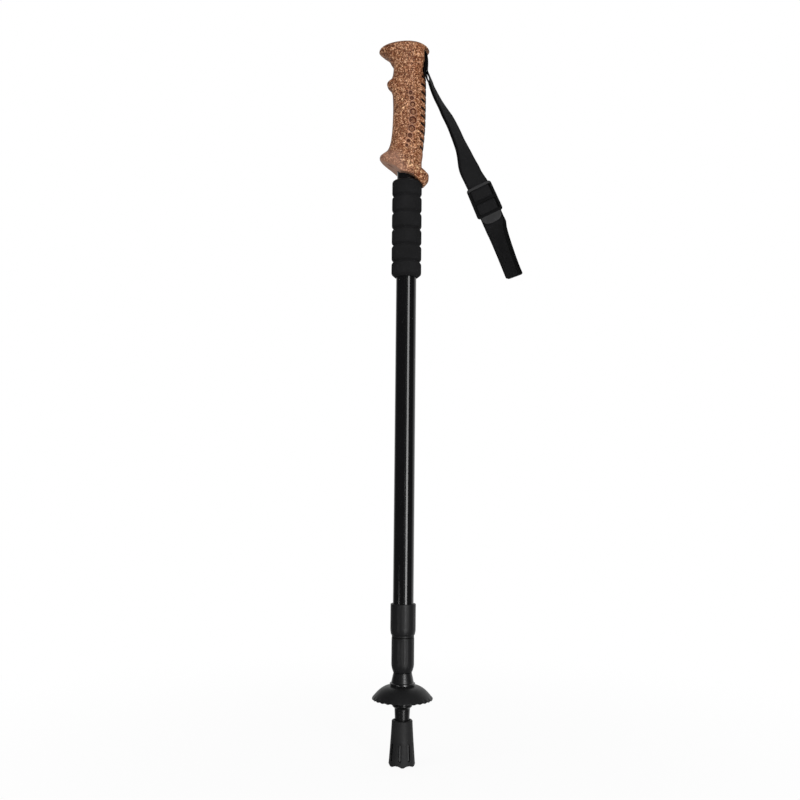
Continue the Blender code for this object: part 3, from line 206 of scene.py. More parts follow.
# Wrist strap: places back from the pin and up from it
STRAP_ROUTE = (
    (0.0, 0.0), (0.0038, -0.0019), (0.0056, -0.0033), (0.0064, -0.0055), (0.0068, -0.0098),
    (0.0068, -0.0138), (0.0073, -0.0174), (0.0085, -0.0211), (0.0101, -0.0245), (0.0124, -0.0305),
    (0.0169, -0.0406), (0.0238, -0.0529), (0.0314, -0.0678), (0.0361, -0.079), (0.0408, -0.0901),
    (0.0471, -0.1088), (0.054, -0.1214), (0.0599, -0.135), (0.0678, -0.1535), (0.069, -0.1563),
    (0.0716, -0.164), (0.0808, -0.1893), (0.0869, -0.2054),
)

# Distance along the strap, then degrees that its width has turned from lying along Y
STRAP_TWIST = (
    (0.0, 0), (0.0155, 0), (0.0195, 8), (0.0225, 11), (0.0255, 12), (0.029, 14), (0.0349, 18),
    (0.0452, 23), (0.0572, 28), (0.0652, 33), (0.0742, 34), (0.0862, 36), (0.0982, 42), (0.1062, 50),
    (0.1177, 70), (0.1252, 77), (0.131, 85), (0.1338, 95), (0.1358, 103), (0.169, 103), (0.1719, 107),
    (0.1745, 119), (0.178, 130), (0.1822, 138), (0.1912, 145), (0.2092, 151), (0.2232, 153),
)
WEBBING_HALF = 0.01
WEBBING_THICKNESS = 0.0012
WEBBING_PINCH = ((0.118, 0.0), (0.13, 0.0005), (0.1352, 0.0004), (0.15, 0.0), (0.1644, 0.0))
LAYER_GAP = 0.0003
LEG_SPREAD = (
    (0.0, PIN_R + FIT_GAP + WEBBING_THICKNESS / 2), (0.0045, 0.002), (0.0075, 0.0009), (0.009, 0.00075),
    (0.018, 0.00075), (0.0205, 0.001), (0.0228, 0.0015), (0.0255, 0.0016), (0.0282, 0.0011),
    (0.031, (WEBBING_THICKNESS + LAYER_GAP) / 2),
)
STRAP_LENGTH = 0.2225
FOLD_RADIUS = 0.0011
TAIL_SHORT = 0.0004
TAIL_BOW = 0.0008
TAIL_EXTRA = 0.0022
TAIL_SLANT = 0.0015
TAIL_ZONE = 0.015
BUCKLE_PLACE = 0.1498
BUCKLE_LENGTH = 0.0292
BUCKLE_LIFT = 0.002
BUCKLE_THICKNESS = 0.0016
TOP_BAR = 0.0026
MIDDLE_BAR = 0.003
BOTTOM_BAR = 0.0028
TAB_LENGTH = 0.0103
TAB_WIDTH = 0.0183
TAB_SQUARENESS = 3.0
BUCKLE_OPENING = 0.0099
BUCKLE_RAIL = 0.0023
BUCKLE_CORNER = 0.0026
BUCKLE_TAPER = 0.04
CORNER_STEPS = 6
TAB_STEPS = 24
WEBBING_STEP = 0.0022
WEBBING_EASE = 0.006
WEBBING_COLUMNS = 14
FOLD_STEPS = 16

# Collars, tip holder, basket and rubber tip
UPPER_COLLAR_R = 0.01095
MIDDLE_COLLAR_R = 0.0098
SPIGOT_R = 0.00795
COLLAR_FLUTES = 18
FLUTE_MIN_R = 0.0088
POINT_BORE_R = 0.0028
POINT_BORE_DEPTH = 0.0123
SOCKET_FLOOR_Z = 0.0547
HOLDER_BOTTOM_Z = 0.011
SHAFT_TOP_Z = 0.048
SHAFT_TOP_R = 0.0066
SHAFT_TAPER = 0.043
THREAD_R = 0.0087
THREAD_ROOT_R = 0.00805
THREAD_PITCH = 0.0025
FLANGE_Z = 0.0668
CRESTS = [FLANGE_Z - 0.00065 - (turn + 0.5) * THREAD_PITCH for turn in range(7)]
BASKET_TURNS = 5
BASKET_R = 0.02615
BASKET_SAG = 0.0107
BASKET_WALL = 0.0017
BASKET_FLAT_R = 0.01085
RIM_WAVE = 0.00028
RIM_WAVES = 28
RIM_WAVE_TURN = math.radians(-67.6)
RUBBER_HEIGHT = 0.0375
RUBBER_BASE_R = 0.0113
RUBBER_TOP_R = 0.00895
RUBBER_EDGE = 0.0007
RUBBER_SHOULDER = 0.0018
RUBBER_TAPER_POWER = 1.15
RUBBER_FLOOR = 0.004
RUBBER_ROWS = 76
SLOT_COUNT = 8
SLOT_TURN = math.radians(-100.5)
SLOT_HALF = 0.0011
SLOT_LOW = 0.005
SLOT_HIGH = 0.019
SLOT_DEPTH = 0.0013
SLOT_EASE = 0.0002
TREAD_LOBES = 6
TREAD_TURN = math.radians(-87)
TREAD_DEPTH = 0.0013
TREAD_HEIGHT = 0.0035
TREAD_SPAN = (0.0035, 0.0095)


def smooth_value(knots, place):
    """Read the smooth curve through (place, value) knots, level at peaks and straight past its ends."""
    slopes = [(b[1] - a[1]) / (b[0] - a[0]) for a, b in zip(knots, knots[1:])]
    tangents = [slopes[0]]
    for before, after in zip(slopes, slopes[1:]):
        level = before * after <= 0
        tangents.append(0.0 if level else 2 * before * after / (before + after))
    tangents.append(slopes[-1])
    if place <= knots[0][0]:
        return knots[0][1] + (place - knots[0][0]) * tangents[0]
    if place >= knots[-1][0]:
        return knots[-1][1] + (place - knots[-1][0]) * tangents[-1]
    i = max(k for k in range(len(slopes)) if knots[k][0] <= place)
    span = knots[i + 1][0] - knots[i][0]
    t = (place - knots[i][0]) / span
    start = (2 * t**3 - 3 * t**2 + 1) * knots[i][1] + (t**3 - 2 * t**2 + t) * span * tangents[i]
    end = (3 * t**2 - 2 * t**3) * knots[i + 1][1] + (t**3 - t**2) * span * tangents[i + 1]
    return start + end


def smooth_step(low, high, value):
    share = min(1.0, max(0.0, (value - low) / (high - low)))
    return share * share * (3 - 2 * share)


# Studio


def linked(name, data):
    """A new object in the scene."""
    made = bpy.data.objects.new(name, data)
    bpy.context.scene.collection.objects.link(made)
    return made


def baked(name, shape):
    """Make a bmesh into a mesh."""
    mesh = bpy.data.meshes.new(name)
    shape.to_mesh(mesh)
    shape.free()
    return mesh


def build_camera():
    lens = bpy.data.cameras.new("camera")
    lens.lens = CAMERA_LENS
    lens.clip_start = 0.01
    camera = linked("camera", lens)
    aim = Matrix.Rotation(math.pi / 2 + CAMERA_PITCH, 4, "X")
    camera.matrix_world = Matrix.Translation(CAMERA_PLACE) @ aim @ Matrix.Rotation(CAMERA_ROLL, 4, "Z")
    bpy.context.scene.camera = camera
    bpy.context.scene.view_settings.view_transform = "Standard"


def build_lamp(name, place, target, width, height, power, glossy):
    """A rectangular lamp that faces a point, its long side upright."""
    light = bpy.data.lights.new(name, "AREA")
    light.shape = "RECTANGLE"
    light.size = width
    light.size_y = height
    light.energy = power
    lamp = linked(name, light)
    lamp.visible_glossy = glossy
    lamp.location = place
    lamp.rotation_euler = (Vector(target) - Vector(place)).to_track_quat("-Z", "Y").to_euler()


class Tree:
    """The nodes of a world or material. Each method adds a node and gives the socket it puts out."""

    def __init__(self, owner):
        owner.use_nodes = True
        self.nodes = owner.node_tree.nodes
        self.links = owner.node_tree.links

    def add(self, kind, values=None, out=0, **settings):
        """Values are for the node's input sockets, by name or number."""
        made = self.nodes.new("ShaderNode" + kind)
        for key, value in settings.items():
            setattr(made, key, value)
        for key, value in (values or {}).items():
            if isinstance(value, bpy.types.NodeSocket):
                self.links.new(value, made.inputs[key])
            else:
                made.inputs[key].default_value = value
        return made.outputs[out] if len(made.outputs) else None

    def maths(self, operation, first, second=0.0):
        return self.add("Math", {0: first, 1: second}, operation=operation)

    def rescaled(self, value, low, high, new_low=0.0, new_high=1.0, kind="LINEAR"):
        values = {0: value, 1: low, 2: high, 3: new_low, 4: new_high}
        return self.add("MapRange", values, interpolation_type=kind)

    def ramp(self, factor, stops):
        """Colours or greys between stops, which are places and values."""
        made = self.add("ValToRGB", {0: factor})
        points = made.node.color_ramp.elements
        while len(points) < len(stops):
            points.new(0.5)
        for point, (place, colour) in zip(points, stops):
            point.position = place
            point.color = (*colour, 1.0) if isinstance(colour, tuple) else (colour, colour, colour, 1.0)
        return made

    def mix(self, factor, first, second, blend="MIX"):
        values = {0: factor, 6: first, 7: second}
        return self.add("Mix", values, 2, data_type="RGBA", blend_type=blend)


def build_world():
    """Plain light from all round, and white where the background is seen or reflected."""
    world = bpy.data.worlds.new("studio")
    bpy.context.scene.world = world
    tree = Tree(world)
    tree.nodes.clear()
    path = tree.add("LightPath").node.outputs
    seen = tree.maths("MAXIMUM", path["Is Camera Ray"], path["Is Transmission Ray"])
    aim = tree.add("TexCoord", out="Generated")
    side = tree.add("VectorMath", {0: aim, 1: BRIGHT_SIDE}, "Value", operation="DOT_PRODUCT")
    bright = tree.rescaled(side, *BRIGHT_SPAN, DIM_SIDE, 1.0, "SMOOTHSTEP")
    shine = tree.maths("MULTIPLY", path["Is Glossy Ray"], bright)
    diffuse = tree.maths("MULTIPLY", path["Is Diffuse Ray"], SURROUND_LIGHT)
    strength = tree.maths("MAXIMUM", tree.maths("MAXIMUM", seen, shine), diffuse)
    light = tree.add("Background", {"Color": (1, 1, 1, 1), "Strength": strength})
    tree.add("OutputWorld", {"Surface": light})


def build_floor():
    """A pale round floor. It keeps the shadow near the stick and is white further out."""
    shape = bmesh.new()
    bmesh.ops.create_circle(shape, cap_ends=True, segments=96, radius=FLOOR_RADIUS)
    floor = linked("floor", baked("floor", shape))
    floor.location.z = -FLOOR_DROP
    floor.visible_glossy = False
    look = bpy.data.materials.new("floor")
    tree = Tree(look)
    tree.nodes.clear()
    path = tree.add("LightPath").node.outputs
    seen = tree.maths("MAXIMUM", path["Is Camera Ray"], path["Is Glossy Ray"])
    seen = tree.maths("MAXIMUM", seen, path["Is Transmission Ray"])
    place = tree.add("TexCoord", out="Object")
    reach = tree.add("VectorMath", {0: place}, "Value", operation="LENGTH")
    far = tree.rescaled(reach, *FLOOR_FADE, FLOOR_NEAR_WHITE, 1.0, "SMOOTHSTEP")
    matt = tree.add("BsdfDiffuse", {"Color": (0.8, 0.8, 0.8, 1)})
    white = tree.add("Emission", {"Color": (1, 1, 1, 1), "Strength": 1.0})
    surface = tree.add("MixShader", {0: tree.maths("MULTIPLY", seen, far), 1: matt, 2: white})
    tree.add("OutputMaterial", {"Surface": surface})
    floor.data.materials.append(look)
    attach(floor, "tip_cover")


# Materials


class Look(Tree):
    """A Principled material, whose place is the object's coordinates in metres."""

    def __init__(self, name, roughness, shine=0.5, **values):
        self.material = bpy.data.materials.new(name)
        super().__init__(self.material)
        self.inputs = self.nodes["Principled BSDF"].inputs
        self.inputs["Roughness"].default_value = roughness
        self.inputs["Specular IOR Level"].default_value = shine
        for key, value in values.items():
            self.inputs[key.replace("_", " ").title()].default_value = value
        self.place = self.add("TexCoord", out="Object")

    def feed(self, name, value):
        self.links.new(value, self.inputs[name])

    def noise(self, scale, detail=2.0, place=None, out="Fac"):
        values = {"Vector": place or self.place, "Scale": scale, "Detail": detail}
        return self.add("TexNoise", values, out)

    def cells(self, scale, place=None, out="Distance", feature="F1"):
        values = {"Vector": place or self.place, "Scale": scale}
        return self.add("TexVoronoi", values, out, feature=feature)

    def patches(self, scale, detail, stops):
        return self.ramp(self.noise(scale, detail), stops)

    def uneven(self, value, roughness, spread):
        """Roughness that varies by spread about its middle."""
        self.feed("Roughness", self.rescaled(value, 0.3, 0.7, roughness - spread, roughness + spread))

    def bump(self, height, strength, distance, **before):
        values = {"Height": height, "Strength": strength, "Distance": distance} | before
        normal = self.add("Bump", values)
        self.feed("Normal", normal)
        return normal


def cork_look(name, sheen, shine):
    """Pressed granules from dark brown to light tan, with black ink and painted shade in the strokes, painted
    shade in the dimples and painted light at the foot's front.
    """
    look = Look(name, 0.62, shine, sheen_weight=sheen, sheen_roughness=0.18)
    warp = {0: look.noise(1300.0, out="Color"), 1: (0.0008, 0.0008, 0.0008), 2: look.place}
    warped = look.add("VectorMath", warp, operation="MULTIPLY_ADD")

    def granules(scale, channel, stops):
        cells = look.cells(scale, warped, "Color")
        return look.ramp(look.add("SeparateColor", {0: cells}, channel), stops)

    def attribute(name):
        return look.add("Attribute", out="Fac", attribute_name=name)

    colour = granules(1000.0, "Red", (
        (0.0, (0.058, 0.014, 0.005)), (0.18, (0.112, 0.032, 0.012)), (0.42, (0.178, 0.064, 0.027)),
        (0.7, (0.245, 0.101, 0.048)), (0.88, (0.37, 0.176, 0.096)), (1.0, (0.64, 0.38, 0.23)),
    ))
    fine = granules(1700.0, "Blue", ((0.0, 0.46), (0.5, 0.98), (1.0, 1.42)))
    colour = look.mix(1.0, colour, fine, "MULTIPLY")
    light = granules(1250.0, "Green", ((0.84, 0.0), (0.87, 0.9), (1.0, 1.0)))
    light = look.maths("MULTIPLY", light, look.patches(110.0, 3.0, ((0.38, 0.3), (0.66, 1.0))))
    colour = look.mix(light, colour, (0.62, 0.34, 0.18, 1))
    dark = granules(1250.0, "Blue", ((0.08, 0.8), (0.11, 0.0)))
    colour = look.mix(dark, colour, (0.058, 0.014, 0.005, 1))
    golden = granules(1150.0, "Blue", ((0.6, 0.0), (0.64, 1.0)))
    colour = look.mix(look.maths("MULTIPLY", golden, attribute("gilt")), colour, (0.95, 0.62, 0.34, 1))
    colour = look.mix(1.0, colour, look.patches(45.0, 2.0, ((0.3, 0.86), (0.7, 1.1))), "MULTIPLY")
    # Tints: painted light on the front foot, painted highlights on the dimples' lips and the foot's
    # underside, painted shade in the dimples and slit, black ink and painted shade down the back
    tints = {
        "pale": (0.27, 0.15, 0.11, 1), "painted_rim_light": (0.36, 0.185, 0.115, 1),
        "painted_recess_shade": (0.058, 0.012, 0.004, 1), "ink_and_painted_shade": (0.003, 0.0015, 0.0015, 1),
    }
    for mark, tint in tints.items():
        colour = look.mix(attribute(mark), colour, tint)
    look.feed("Base Color", colour)
    seams = look.ramp(look.cells(1000.0, warped, feature="DISTANCE_TO_EDGE"), ((0.0, 0.0), (0.12, 1.0)))
    normal = look.bump(seams, 0.3, 0.0002)
    look.bump(look.noise(2600.0, 3.0), 0.2, 0.0002, Normal=normal)
    return look.material


def foam_look():
    """Closed-cell foam with a very fine skin."""
    look = Look("foam", 0.95, 0.08)
    cells = look.cells(2600.0)
    colour = look.ramp(cells, ((0.0, (0.0135, 0.0135, 0.014)), (0.8, (0.0085, 0.0085, 0.009))))
    tone = look.patches(60.0, 3.0, ((0.3, 0.85), (0.7, 1.15)))
    look.feed("Base Color", look.mix(1.0, colour, tone, "MULTIPLY"))
    look.bump(cells, 0.5, 0.0002)
    return look.material


def tube_look():
    """Black lacquer on drawn tube, a little duller in patches."""
    look = Look("gloss_tube", 0.12, 0.45)
    look.uneven(look.noise(25.0, 3.0), 0.12, 0.02)
    stops = ((0.3, (0.003, 0.003, 0.0033)), (0.7, (0.0042, 0.0042, 0.0046)))
    look.feed("Base Color", look.patches(30.0, 2.0, stops))
    return look.material


def moulded_look(name, dark, light, roughness, spread, shine, grain, depth):
    """Moulded plastic or rubber: a fine spark-eroded grain, and dull and bright patches."""
    look = Look(name, roughness, shine)
    stops = [(place, (grey, grey, blue)) for place, (grey, blue) in ((0.3, dark), (0.7, light))]
    look.feed("Base Color", look.patches(70.0, 3.0, stops))
    look.uneven(look.noise(240.0, 3.0), roughness, spread)
    look.bump(look.noise(grain, 3.0), depth, 0.0001)
    return look.material


def webbing_look():
    """Woven polyester: a herringbone of ribs, with a plain edge on both sides. UV is in metres."""
    look = Look("webbing", 0.85, 0.15)
    uv = look.add("UVMap", uv_map="metres")
    across, along = look.add("SeparateXYZ", {0: uv}).node.outputs[:2]

    def wave(place, length, share):
        turns = look.maths("MULTIPLY", place, math.tau / length)
        return look.maths("MULTIPLY", look.maths("SINE", turns), share)

    slant = look.maths("ADD", along, look.maths("PINGPONG", across, 0.0025))
    weave = look.maths("ADD", wave(slant, 0.0011, 0.35), wave(across, 0.0007, 0.2))
    height = look.maths("ADD", weave, look.noise(3000.0))
    shade = look.rescaled(height, -0.2, 1.1)
    colour = look.ramp(shade, ((0.0, (0.003, 0.003, 0.0033)), (1.0, (0.0125, 0.0125, 0.0132))))
    rim = look.rescaled(look.maths("ABSOLUTE", across), 0.0082, 0.0088)
    look.feed("Base Color", look.mix(rim, colour, (0.003, 0.003, 0.0032, 1)))
    look.bump(height, 0.6, 0.0003)
    return look.material


def metal_look(name, colour, roughness):
    """Plated or sintered metal with fine turning lines round the stick's axis."""
    look = Look(name, roughness, 0.5, metallic=1.0)
    flat = look.add("Mapping", {"Vector": look.place, "Scale": (0.05, 0.05, 1.0)})
    lines = look.noise(6000.0, place=flat)
    shade = tuple(c * 0.8 for c in colour)
    look.feed("Base Color", look.patches(400.0, 2.0, ((0.3, shade), (0.7, colour))))
    look.uneven(lines, roughness, 0.08)
    look.bump(lines, 0.1, 0.0001)
    return look.material


# Dark and light patches as (grey, blue), roughness and its spread, shine, then the grain's scale and strength
MOULDED = {
    "matt_plastic": ((0.008, 0.0085), (0.01, 0.0106), 0.46, 0.03, 0.26, 3200.0, 0.08),
    "gloss_plastic": ((0.0045, 0.0048), (0.0062, 0.0066), 0.33, 0.02, 0.5, 1800.0, 0.005),
    "buckle_plastic": ((0.018, 0.0186), (0.023, 0.0238), 0.46, 0.05, 0.34, 3000.0, 0.12),
    # Painted shade for the buckle's rails and its bottom and middle bars
    "painted_shade_plastic": ((0.003, 0.0032), (0.0042, 0.0045), 0.55, 0.04, 0.1, 3000.0, 0.08),
    # Painted shade for the rubber tip's slot walls, then a painted highlight for their floors
    "rubber_painted_shade": ((0.0025, 0.0027), (0.0035, 0.0038), 0.7, 0.04, 0.1, 2600.0, 0.1),
    "rubber_painted_highlight": ((0.042, 0.0425), (0.056, 0.057), 0.6, 0.05, 0.3, 2600.0, 0.15),
    "rubber": ((0.0105, 0.011), (0.015, 0.0155), 0.62, 0.06, 0.3, 2600.0, 0.2),
    "nylon": ((0.6, 0.56), (0.68, 0.65), 0.5, 0.05, 0.4, 2000.0, 0.05),
}
LOOKS = {name: moulded_look(name, *values) for name, values in MOULDED.items()}
LOOKS |= {
    "cork": cork_look("cork", 0.28, 0.2), "cork_back": cork_look("cork_back", 0.0, 0.08),
    "foam": foam_look(), "gloss_tube": tube_look(), "webbing": webbing_look(),
    "steel": metal_look("steel", (0.6, 0.6, 0.61), 0.3),
    "carbide": metal_look("carbide", (0.22, 0.22, 0.23), 0.38),
}


# Shapes


def heights(node):
    """Where a CAD node starts and ends along the stick."""
    return [corner.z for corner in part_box(node)]


def placed(shape, body, slot, cad_node, name=None):
    """Make a bmesh into a smooth piece with its slot's look. It rides on a body and stands for a CAD node."""
    name = name or cad_node + "_skin"
    bmesh.ops.recalc_face_normals(shape, faces=shape.faces)
    piece = linked(name, baked(name, shape))
    piece.data.shade_smooth()
    piece.data.materials.append(LOOKS[slot])
    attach(piece, body)
    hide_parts(cad_node)
    return piece


def skin(shape, rows, ends="open"):
    """Faces between rows of vertices that run round. The end rows are open, capped or joined together."""
    following = rows[1:] + rows[:1] if ends == "joined" else rows[1:]
    for row, after in zip(rows, following):
        for i in range(len(row)):
            j = (i + 1) % len(row)
            shape.faces.new((row[i], row[j], after[j], after[i]))
    if ends == "capped":
        shape.faces.new(rows[0])
        shape.faces.new(rows[-1])


def bent(start, corner, end, share):
    """A point of the curve from start to end that bends towards a corner."""
    return start * (1 - share) ** 2 + corner * 2 * share * (1 - share) + end * share**2


def eased(outline, steps=4):
    """Round the corners of an outline of (radius, height, easing)."""
    points = []
    for index, (radius, height, ease) in enumerate(outline):
        here = Vector((radius, height))
        back = Vector(outline[index - 1][:2]) - here
        ahead = Vector(outline[(index + 1) % len(outline)][:2]) - here
        reach = min(ease, back.length * 0.45, ahead.length * 0.45)
        start = here + back.normalized() * reach
        end = here + ahead.normalized() * reach
        points += [bent(start, here, end, step / steps) for step in range(steps + 1)]
    return [tuple(point) for point in points]


def split_long(outline, longest):
    """Put extra points in an outline's long edges."""
    points = []
    for a, b in zip(outline, outline[1:] + outline[:1]):
        count = max(1, math.ceil(math.dist(a, b) / longest))
        points += [(a[0] + (b[0] - a[0]) * i / count, a[1] + (b[1] - a[1]) * i / count) for i in range(count)]
    return points


def lathe(outline, sides, change=None):
    """Turn a closed outline of (radius, height) round the axis; change may move a point by its turn."""
    shape = bmesh.new()
    rows = []
    for radius, height in outline:
        row = []
        for index in range(sides):
            turn = math.tau * index / sides
            r, z = (radius, height) if change is None else change(turn, radius, height)
            row.append(shape.verts.new((r * math.cos(turn), r * math.sin(turn), z)))
        rows.append(row)
    skin(shape, rows, "joined")
    bmesh.ops.remove_doubles(shape, verts=shape.verts, dist=WELD)
    return shape


# Grip


def sampled(knots, shares):
    return np.array([smooth_value(knots, share) for share in shares])


def foam_height(reach):
    """How high the foam's head stands at a distance from the axis; far below everything beyond its side."""
    if reach > FOAM_R + FIT_GAP:
        return -1.0
    share = max(0.0, reach - FIT_GAP - FOAM_HEAD_R) / (FOAM_R - FOAM_HEAD_R)
    return FOAM_TOP_Z + FIT_GAP - FOAM_HEAD_DROP * (1 - math.sqrt(1 - min(1.0, share) ** 2))


def foot_depth(x):
    """How far below the crown the foot's underside is, by its place along X."""
    return GRIP_LENGTH * np.interp(x, FOOT_PLACES, FOOT_SHARES)


def grip_column(turn, depths, front, back, side, square):
    """Points down the grip's skin at one turn, round its foot's edge, along its underside and up the bore."""
    ahead, aside = math.cos(turn), math.sin(turn)
    power = 2 / square if ahead > 0 else 1.0
    xs = math.copysign(1, ahead) * abs(ahead) ** power * (back if ahead > 0 else front)
    ys = math.copysign(1, aside) * abs(aside) ** power * side
    points = []
    for step in range(1, CROWN_ROWS):
        share = math.sin(math.pi / 2 * step / CROWN_ROWS)
        drop = CROWN_HEIGHT * (1 - math.sqrt(1 - share**2))
        points.append((CROWN_PEAK_X * (1 - share) + share * xs[0], share * ys[0], CROWN_Z - drop))
    reach = np.hypot(xs, ys)
    inside = np.where(CROWN_Z - depths < FOAM_TOP_Z - FOAM_HEAD_DROP, FOAM_R + 2 * FIT_GAP, UPPER_BORE_R)
    ended = np.nonzero((depths >= foot_depth(xs)) | (reach <= inside))[0]
    last = depths[ended[0]] if len(ended) else depths[-1]

    def on_skin(depth):
        return Vector((np.interp(depth, depths, xs), np.interp(depth, depths, ys), CROWN_Z - depth))

    edge = on_skin(last)
    aim = math.atan2(edge.y, edge.x)
    edge_reach = math.hypot(edge.x, edge.y)

    def underside(reach):
        x = reach * math.cos(aim)
        z = max(CROWN_Z - foot_depth(x), foam_height(reach), CROWN_Z - GRIP_LENGTH)
        return Vector((x, reach * math.sin(aim), z))

    room = max(FOOT_EASE_BACK, FOOT_EASE_SHARE * (edge_reach - FOAM_R - 2 * FIT_GAP))
    front_ease = FOOT_EASE_SIDE + (FOOT_EASE_FRONT - FOOT_EASE_SIDE) * (1 - smooth_step(*FOOT_FRONT, edge.x))
    ease = FOOT_EASE_BACK + (min(front_ease, room) - FOOT_EASE_BACK) * (1 - smooth_step(*FOOT_BACK, edge.x))
    points += [on_skin(depth) for depth in np.linspace(CROWN_HEIGHT, last - ease, GRIP_ROWS)]
    rim_reach = edge_reach - ease
    start, end = points[-1], underside(rim_reach)
    points += [bent(start, edge, end, step / EASE_ROWS) for step in range(1, EASE_ROWS)]
    points += [underside(reach) for reach in np.linspace(rim_reach, UPPER_BORE_R, UNDER_ROWS)]
    points.append(Vector((UPPER_BORE_R * math.cos(aim), UPPER_BORE_R * math.sin(aim), BORE_TOP_Z)))
    return points


def dimple_centres():
    """Place along X, depth below the crown and half the size of each dimple of a side's bowed row."""
    edge = DIMPLE_START - DIMPLE_SIZES[0] / 2
    for size in DIMPLE_SIZES:
        depth = edge + size / 2
        yield DIMPLE_BOW_X - DIMPLE_BOW * (depth - DIMPLE_BOW_DEPTH) ** 2, depth, size / 2
        edge += size + DIMPLE_GAP


def ramp_down(inner, outer, values):
    """1 below inner, 0 above outer, smooth between."""
    share = np.clip((outer - values) / (outer - inner), 0, 1)
    return share * share * (3 - 2 * share)


def grip_marks(points):
    """For each point of the grip: how deep it is pressed in, and how much it has of each tint: painted shade,
    painted light, ink and golden flecks.
    """
    x, y, depth = points[:, 0], points[:, 1], CROWN_Z - points[:, 2]
    press = painted_recess_shade = painted_rim_light = gilt = stroke = np.zeros(len(points))
    for place, below, half in dimple_centres():
        right, up = x - place, depth - below
        hexagon = np.maximum.reduce([abs(right * math.cos(a) + up * math.sin(a)) for a in HEXAGON_TURNS])
        reach = HEXAGON_SHARE * hexagon / HEXAGON_FLAT + (1 - HEXAGON_SHARE) * np.hypot(right, up)
        well = ramp_down(half - DIMPLE_WALL, half, reach)
        ring = ramp_down(half + 0.0001, half + DIMPLE_RIM, reach)
        ring *= ramp_down(DIMPLE_WALL, 2 * DIMPLE_WALL, half - reach)
        press = np.maximum(press, DIMPLE_DEPTH * well)
        # The dimple's wall and well get painted shade
        painted_recess_shade = np.maximum.reduce([painted_recess_shade, ring, well * DIMPLE_SHADE[half >= SMALL_DIMPLE]])
        outside = ramp_down(half + DIMPLE_WALL, half + DIMPLE_LIP_WIDTH, reach)
        # A painted highlight lies round each dimple's raised lip
        painted_rim_light = np.maximum(painted_rim_light, outside * ramp_down(0, 0.0003, half + DIMPLE_RIM - reach))
    # Strokes get black ink and painted shade
    for index in range(STROKE_COUNT):
        middle = STROKE_START + index * STROKE_SPACING - abs(y) * STROKE_SLOPE
        ends = ramp_down(STROKE_REACH - 0.0012, STROKE_REACH, abs(y)) * (x > 0)
        line = ramp_down(STROKE_HALF * 0.7, STROKE_HALF * 1.1, abs(depth - middle))
        stroke = np.maximum(stroke, line * ends)
    first, last = STROKE_START - 0.004, STROKE_START + (STROKE_COUNT - 1) * STROKE_SPACING + 0.002
    # The spine's groove gets painted shade
    spine = ramp_down(SPINE_HALF - 0.0012, SPINE_HALF, abs(y)) * (x > 0)
    spine *= ramp_down(-0.002, 0.002, first - depth) * ramp_down(-0.002, 0.002, depth - last)
    press = np.maximum(press, np.maximum(STROKE_DEPTH * stroke, SPINE_DEPTH * spine)) - DIMPLE_LIP * painted_rim_light
    # Painted light on the front foot
    lobe = ramp_down(LOBE_X, LOBE_X + LOBE_FADE, x + 0.35 * (LOBE_DEPTH - depth))
    lobe *= ramp_down(-0.003, 0.004, LOBE_DEPTH - depth)
    slit = np.hypot((x - SLIT_PLACE[0]) / SLIT_SIZE[0], (y - SLIT_PLACE[1]) / SLIT_SIZE[1])
    slit = ramp_down(0.55, 1.0, slit) * (depth > LOBE_DEPTH)
    press = np.maximum(press, SLIT_DEPTH * slit)
    for place, below, size in FLECKS:
        gilt = np.maximum(gilt, ramp_down(0.3, 1.0, np.hypot(x - place, depth - below) / size) * (y < 0))
    # Painted shadow beside the strap's slot
    low, high = SLOT_EDGE_DEPTHS
    edge = ramp_down(-0.0016, 0, SLOT_EDGE_X - x)
    edge *= ramp_down(-0.001, 0.002, low - depth) * ramp_down(-0.003, 0.002, depth - high)
    # Painted light on the foot's underside near its edge
    under = ramp_down(0.0003, 0.0016, foot_depth(x) - depth) * ramp_down(-0.008, -0.003, x)
    return press, {
        "painted_recess_shade": np.maximum(painted_recess_shade, slit), "ink_and_painted_shade": np.maximum.reduce([stroke, 0.95 * spine, edge]),
        "pale": 0.45 * lobe, "painted_rim_light": np.maximum(painted_rim_light, 0.75 * under * (1 - slit)), "gilt": gilt,
    }


def pocket_cutter():
    """The room round the strap's pin, with the way out of it at the back."""
    turns = np.linspace(math.pi / 2, POCKET_ARC_END, POCKET_STEPS + 1)
    outline = [(PIN_X + POCKET_RADIUS * math.cos(a), PIN_Z + POCKET_RADIUS * math.sin(a)) for a in turns]
    outline += [(PIN_X + x, PIN_Z + z) for x, z in POCKET_FLOOR]
    far = PIN_X + GRIP_LENGTH / 2
    outline += [(far, outline[-1][1]), (far, PIN_Z + POCKET_RADIUS)]
    shape = bmesh.new()
    rows = [[shape.verts.new((x, y, z)) for x, z in outline] for y in (-POCKET_HALF, POCKET_HALF)]
    skin(shape, rows, "capped")
    bmesh.ops.recalc_face_normals(shape, faces=shape.faces)
    return bpy.data.objects.new("pocket", baked("pocket", shape))


